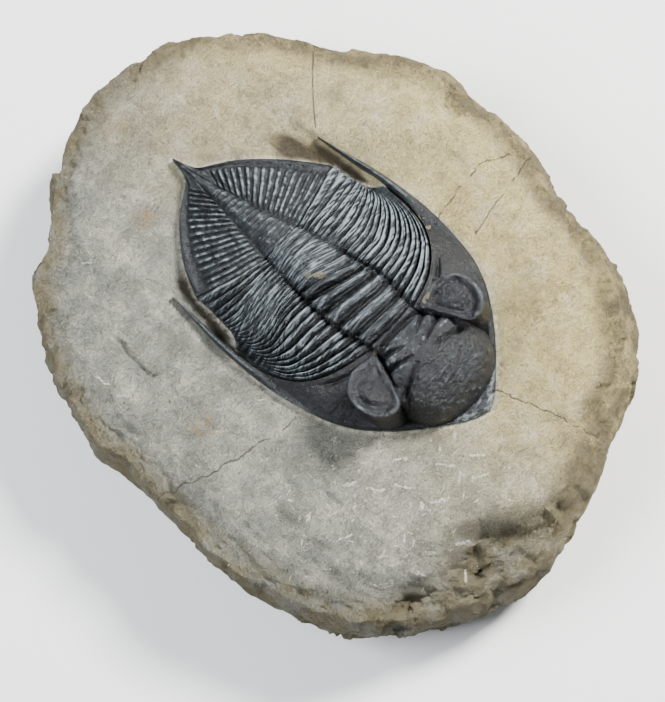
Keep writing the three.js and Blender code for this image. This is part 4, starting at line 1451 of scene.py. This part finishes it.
@dataclass(frozen=True)
class Limestone:
    """Dense grey to tan limestone with scratches, hairline cracks and brown broken edges."""

    grey: Colour = (0.29, 0.295, 0.25)
    tan: Colour = (0.67, 0.55, 0.245)
    pale: Colour = (0.78, 0.73, 0.58)
    chalk: Colour = (0.86, 0.84, 0.74)
    ochre: Colour = (0.56, 0.41, 0.15)
    dark: Colour = (0.075, 0.072, 0.056)
    brown: Colour = (0.15, 0.124, 0.066)
    rust: Colour = (0.36, 0.2, 0.06)
    hollow_darkening: Colour = (0.045, 0.034, 0.02)
    cracks: tuple[Stations, ...] = (
        ((37, 38), (29.7, 30.7), (23.3, 24.7)),
        ((-25.3, -11.2), (-37.3, -7.6), (-46.5, -4), (-55, 1.5)),
        ((3.7, -38.2), (6.7, -49), (9, -59)),
        ((22.6, -7.3), (37.5, -7.1), (44.3, -10.9)),
        ((25.8, -15.3), (35.6, -14.3), (45.2, -13.1)),
    )
    strokes: tuple[Stations, ...] = (
        ((-29.4, -27.6), (-27.4, -29)), ((-26.8, -31.4), (-25, -34.2)),
        ((-19.2, -31.8), (-17.5, -33.6)), ((-14.6, -38.8), (-12.8, -41.6)),
        ((-20.8, -42.4), (-18.3, -44.8)), ((-12.2, -45.8), (-9.7, -47.4)),
        ((-38.2, -33.4), (-35.6, -35)), ((-35.6, -44.4), (-33.4, -45.4)),
        ((-44, 26.4), (-43.4, 23.4)), ((-28.2, 44.4), (-26.9, 42.8)), ((-43.8, 20.6), (-42.6, 18.6)),
        ((-22.6, -35), (-21.2, -37.6)), ((-28.4, -56.2), (-27, -54.9)), ((-24, -51), (-22.4, -52.6)),
        ((-9, -42.6), (-7.4, -44.6)),
    )
    stroke_width: float = 0.34
    crack_width: float = 0.22
    rust_spots: Stations = ((-12.4, 40.1), (-37.7, 2.3), (-1.7, 58.8))
    spots_z: float = 28.0
    gloss: float = 0.3

    def drawn(self, paint: Paint, shell: Shell, lines: Sequence[Stations], width: float) -> Wire:
        """Gives 1 on thin wavering lines and 0 away from them.

        Args:
            paint: The material.
            shell: The fossil's form, which places the lines.
            lines: Each line's corners in mm.
            width: Half the lines' width in mm.

        Returns:
            The lines' strength.
        """
        waver = (paint.noise(300, 4, 0.6) - 0.5) * 0.0022
        x, y = paint.axis(0) + waver, paint.axis(1) + waver
        nearest = None
        for line in lines:
            for a, b in zip(line, line[1:]):
                ax, ay, _ = shell.to_frame(np.array([*a, 0.0]))
                bx, by, _ = shell.to_frame(np.array([*b, 0.0]))
                dx, dy = bx - ax, by - ay
                length = dx * dx + dy * dy
                along = ((x - ax) * (dx / length) + (y - ay) * (dy / length)).most(0).least(1)
                off_x, off_y = x - ax - along * dx, y - ay - along * dy
                gap = (off_x * off_x + off_y * off_y) ** 0.5
                nearest = gap if nearest is None else nearest.least(gap)
        return 1 - nearest.ease(0.35 * width * MM, width * MM)

    def facets(self, paint: Paint, scale: float, tilt: float) -> Wire:
        """Gives the height in metres of flakes, each a plane that tilts its own way.

        Args:
            paint: The material.
            scale: Flakes per metre.
            tilt: How steep they are.

        Returns:
            The height.
        """
        fine = {"Vector": paint.place, "Scale": scale * 2.5}
        drift = paint.add("ShaderNodeTexNoise", None, fine, "Color")
        at = paint.vector("MULTIPLY_ADD", drift, (0.5 / scale,) * 3, paint.place)
        cells = {"Vector": at, "Scale": scale}
        centre = paint.add("ShaderNodeTexVoronoi", None, cells, "Position")
        lean = paint.add("ShaderNodeTexVoronoi", None, cells, "Color")
        away = paint.vector("SUBTRACT", at, centre)
        lean = paint.vector("SUBTRACT", lean, (0.5, 0.5, 0.5))
        return paint.vector("DOT_PRODUCT", away, lean, output="Value") * tilt

    def spots(self, paint: Paint, shell: Shell) -> Wire:
        """Gives the rust spots' strength.

        Args:
            paint: The material.
            shell: The fossil's form, which places the spots.

        Returns:
            The strength, 0 to 1.
        """
        total = None
        for x, y in self.rust_spots:
            centre = tuple(shell.to_frame(np.array([x, y, self.spots_z])))
            away = paint.vector("DISTANCE", paint.place, centre, output="Value")
            spot = 1 - away.ease(0.0005, 0.0042)
            total = spot if total is None else total.most(spot)
        return total * paint.noise(600, 4, 0.7).ease(0.42, 0.62)

    def scratches(self, paint: Paint, bias: Wire) -> Wire:
        """Gives pale nicks left by preparation, in several directions, more of them where biased.

        Args:
            paint: The material.
            bias: Where there are more or fewer.

        Returns:
            1 on a nick.
        """
        total = None
        for turn, scale in ((0.5, 900), (1.9, 1100), (2.7, 800)):
            at = paint.mapped((2.6, 1.0, 2.0), turn)
            nick = (paint.noise(scale, 3, 0.6, at=at, warp=0.4) + bias).ease(0.7, 0.74)
            total = nick if total is None else total.most(nick)
        return total

    def material(self, shell: Shell) -> bpy.types.Material:
        """Makes the finish.

        Args:
            shell: The fossil's form, which places the cracks and spots.

        Returns:
            The material.
        """
        paint = Paint("block_limestone")
        x, y = paint.axis(0), paint.axis(1)
        edge, darker_hollows, seam = (paint.mask(name) for name in ("edge", "darker_hollows", "seam"))
        broad = paint.noise(28, 4, 0.6)
        patch = paint.noise(150, 6, 0.68)
        grain = paint.noise(900, 6, 0.72)
        grit = paint.noise(3000, 4, 0.7)
        warm = (x - y * 0.25 + (broad - 0.5) * 0.05).ease(-0.022, 0.045)
        prepared = (0.0 - y).ease(0.012, 0.035) * (1 - x.ease(0.0, 0.02))
        nicked = (prepared * 0.05 + patch.ease(0.5, 0.7) * 0.03) * (1 - edge) - edge * 0.02
        nicks = self.scratches(paint, nicked)
        strokes = self.drawn(paint, shell, self.strokes, self.stroke_width) * grit.ease(0.4, 0.5)
        broken = paint.noise(260, 3, 0.6).ease(0.36, 0.46)
        cracks = self.drawn(paint, shell, self.cracks, self.crack_width) * broken
        creased = paint.noise(130, 4, 0.55, warp=0.8) - 0.5
        creased = creased.math("ABSOLUTE", creased).ease(0.0, 0.05)
        browned = (edge * patch.ease(0.3, 0.55) * 1.3 + broad.ease(0.58, 0.75) * 0.3) * 0.7
        colour = paint.coats(
            self.grey,
            (warm, self.tan),
            (broad.ease(0.45, 0.65) * warm * 0.35, self.ochre),
            (patch.ease(0.47, 0.7) * 0.4, self.pale),
            ((1 - patch.ease(0.3, 0.52)) * 0.42, self.dark),
            ((1 - grain.ease(0.34, 0.5)) * 0.3, self.dark),
            (grain.ease(0.6, 0.68) * patch.ease(0.4, 0.6) * 0.6, self.pale),
            ((1 - grit.ease(0.36, 0.5)) * 0.42, self.dark),
            (grit.ease(0.54, 0.68) * 0.28, self.pale),
            (browned, self.brown),
            (self.spots(paint, shell) * 0.7, self.rust),
            (nicks * 0.8, self.pale),
            # Dark brown in the hollows between the spines and the thorax.
            ((darker_hollows + (patch - 0.5) * 0.5).ease(0.1, 1.1) * 0.95, self.hollow_darkening),
            (seam * grain.ease(0.35, 0.6) * 0.8, self.pale),
            (strokes * 0.75, self.chalk),
            (cracks * 0.8, self.dark),
        )
        normal = paint.bumps(
            (self.facets(paint, 150, 1.15), 1.0),
            (self.facets(paint, 520, 1.6), 1.0),
            (creased, 0.002),
            (patch, 0.0055),
            (grain, 0.0022),
            (grit, 0.0006),
            (nicks, -0.0003),
            (cracks, -0.0003),
        )
        rough = 0.82 + grain * 0.14
        paint.put(Base_Color=colour, Roughness=rough, Normal=normal, Specular_IOR_Level=self.gloss)
        return paint.material


@dataclass(frozen=True)
class Lamp:
    """A soft square light, placed along the camera's right, up and back directions."""

    name: str
    right: float
    up: float
    back: float
    size: float
    power: float
    colour: Colour


@dataclass
class Studio:
    """A pale floor, soft lights and the camera."""

    shell: Shell
    azimuth: float = -16.0
    elevation: float = 73.0
    head_angle: float = -38.3
    distance: float = 0.4
    focal_pixels: float = 2000.0
    image: tuple[int, int] = (665, 702)
    target: tuple[float, float, float] = (0, 0, 25)
    target_pixel: tuple[float, float] = (336, 290)
    sensor: float = 36.0
    lamps: tuple[Lamp, ...] = (
        Lamp("key", 0.42, 0.5, 0.55, 0.2, 30, (1, 0.99, 0.965)),
        Lamp("fill", -0.5, 0.1, 0.5, 0.4, 10, (0.93, 0.96, 1)),
    )
    lamp_target: tuple[float, float, float] = (0, 0, 0.02)
    floor_size: float = 4
    floor_colour: Colour = (0.72, 0.72, 0.71)
    floor_roughness: float = 0.75
    sky_colour: Colour = (0.9, 0.94, 1)
    sky_strength: float = 0.32

    def camera_axes(self) -> tuple[Array, Array, Array]:
        """Gives the camera's right, up and back directions.

        Returns:
            Three unit vectors.
        """
        a, e = math.radians(self.azimuth), math.radians(self.elevation)
        back = np.array([math.sin(a) * math.cos(e), -math.cos(a) * math.cos(e), math.sin(e)])
        level = np.array([math.cos(a), math.sin(a), 0])
        rise = np.cross(back, level)
        head = np.array([0, -1, 0])
        roll = math.radians(self.head_angle) - math.atan2(head @ rise, head @ level)
        right = math.cos(roll) * level - math.sin(roll) * rise
        up = math.sin(roll) * level + math.cos(roll) * rise
        return right, up, back

    def camera(self) -> None:
        """Adds the camera, turned so that the target falls on its pixel."""
        right, up, back = self.camera_axes()
        place = self.shell.to_frame(np.array(self.target, float)) + back * self.distance
        off_x = (self.image[0] / 2 - self.target_pixel[0]) / self.focal_pixels
        off_y = (self.target_pixel[1] - self.image[1] / 2) / self.focal_pixels
        ahead = -back + off_x * right + off_y * up
        back = -ahead / np.linalg.norm(ahead)
        right = right - (right @ back) * back
        right = right / np.linalg.norm(right)
        up = np.cross(back, right)
        data = bpy.data.cameras.new("photo_camera")
        data.sensor_width = self.sensor
        data.lens = self.sensor * self.focal_pixels / max(self.image)
        data.clip_start = 0.01
        camera = bpy.data.objects.new("photo_camera", data)
        bpy.context.collection.objects.link(camera)
        matrix = Matrix([[*row, 0] for row in np.stack([right, up, back], axis=1)] + [[0, 0, 0, 1]])
        matrix.translation = Vector(place)
        camera.matrix_world = matrix
        bpy.context.scene.camera = camera

    def light(self, lamp: Lamp) -> None:
        """Adds a soft square light that faces the fossil.

        Args:
            lamp: The light's place and power.
        """
        right, up, back = self.camera_axes()
        place = Vector(lamp.up * up + lamp.right * right + lamp.back * back)
        data = bpy.data.lights.new(lamp.name, "AREA")
        data.size = lamp.size
        data.energy = lamp.power
        data.color = lamp.colour
        stand = bpy.data.objects.new(lamp.name, data)
        bpy.context.collection.objects.link(stand)
        stand.location = place
        facing = Vector(self.lamp_target) - place
        stand.rotation_euler = facing.to_track_quat("-Z", "Y").to_euler()

    def build(self) -> None:
        """Sets the stage."""
        bpy.ops.object.select_all(action="DESELECT")
        bpy.ops.mesh.primitive_plane_add(size=self.floor_size, location=(0, 0, 0))
        floor = bpy.context.object
        floor.name = "floor"
        paint = Paint("floor")
        paint.put(Base_Color=self.floor_colour, Roughness=self.floor_roughness)
        floor.data.materials.append(paint.material)
        world = bpy.data.worlds.new("studio")
        world.use_nodes = True
        sky = world.node_tree.nodes["Background"].inputs
        sky["Color"].default_value = (*self.sky_colour, 1)
        sky["Strength"].default_value = self.sky_strength
        bpy.context.scene.world = world
        for lamp in self.lamps:
            self.light(lamp)
        self.camera()


def main() -> None:
    """Builds every piece in order."""
    logging.basicConfig(level=logging.INFO, format="%(name)s %(message)s")
    shell = Shell()
    calcite = FossilCalcite().material()
    Studio(shell).build()
    RockMatrix(shell, Limestone().material(shell)).build()
    HeadShield(shell, calcite).build()
    for index in range(shell.segment_count):
        ThoraxSegment(shell, calcite, index).build()
    TailShield(shell, calcite).build()


if __name__ == "__main__":
    main()
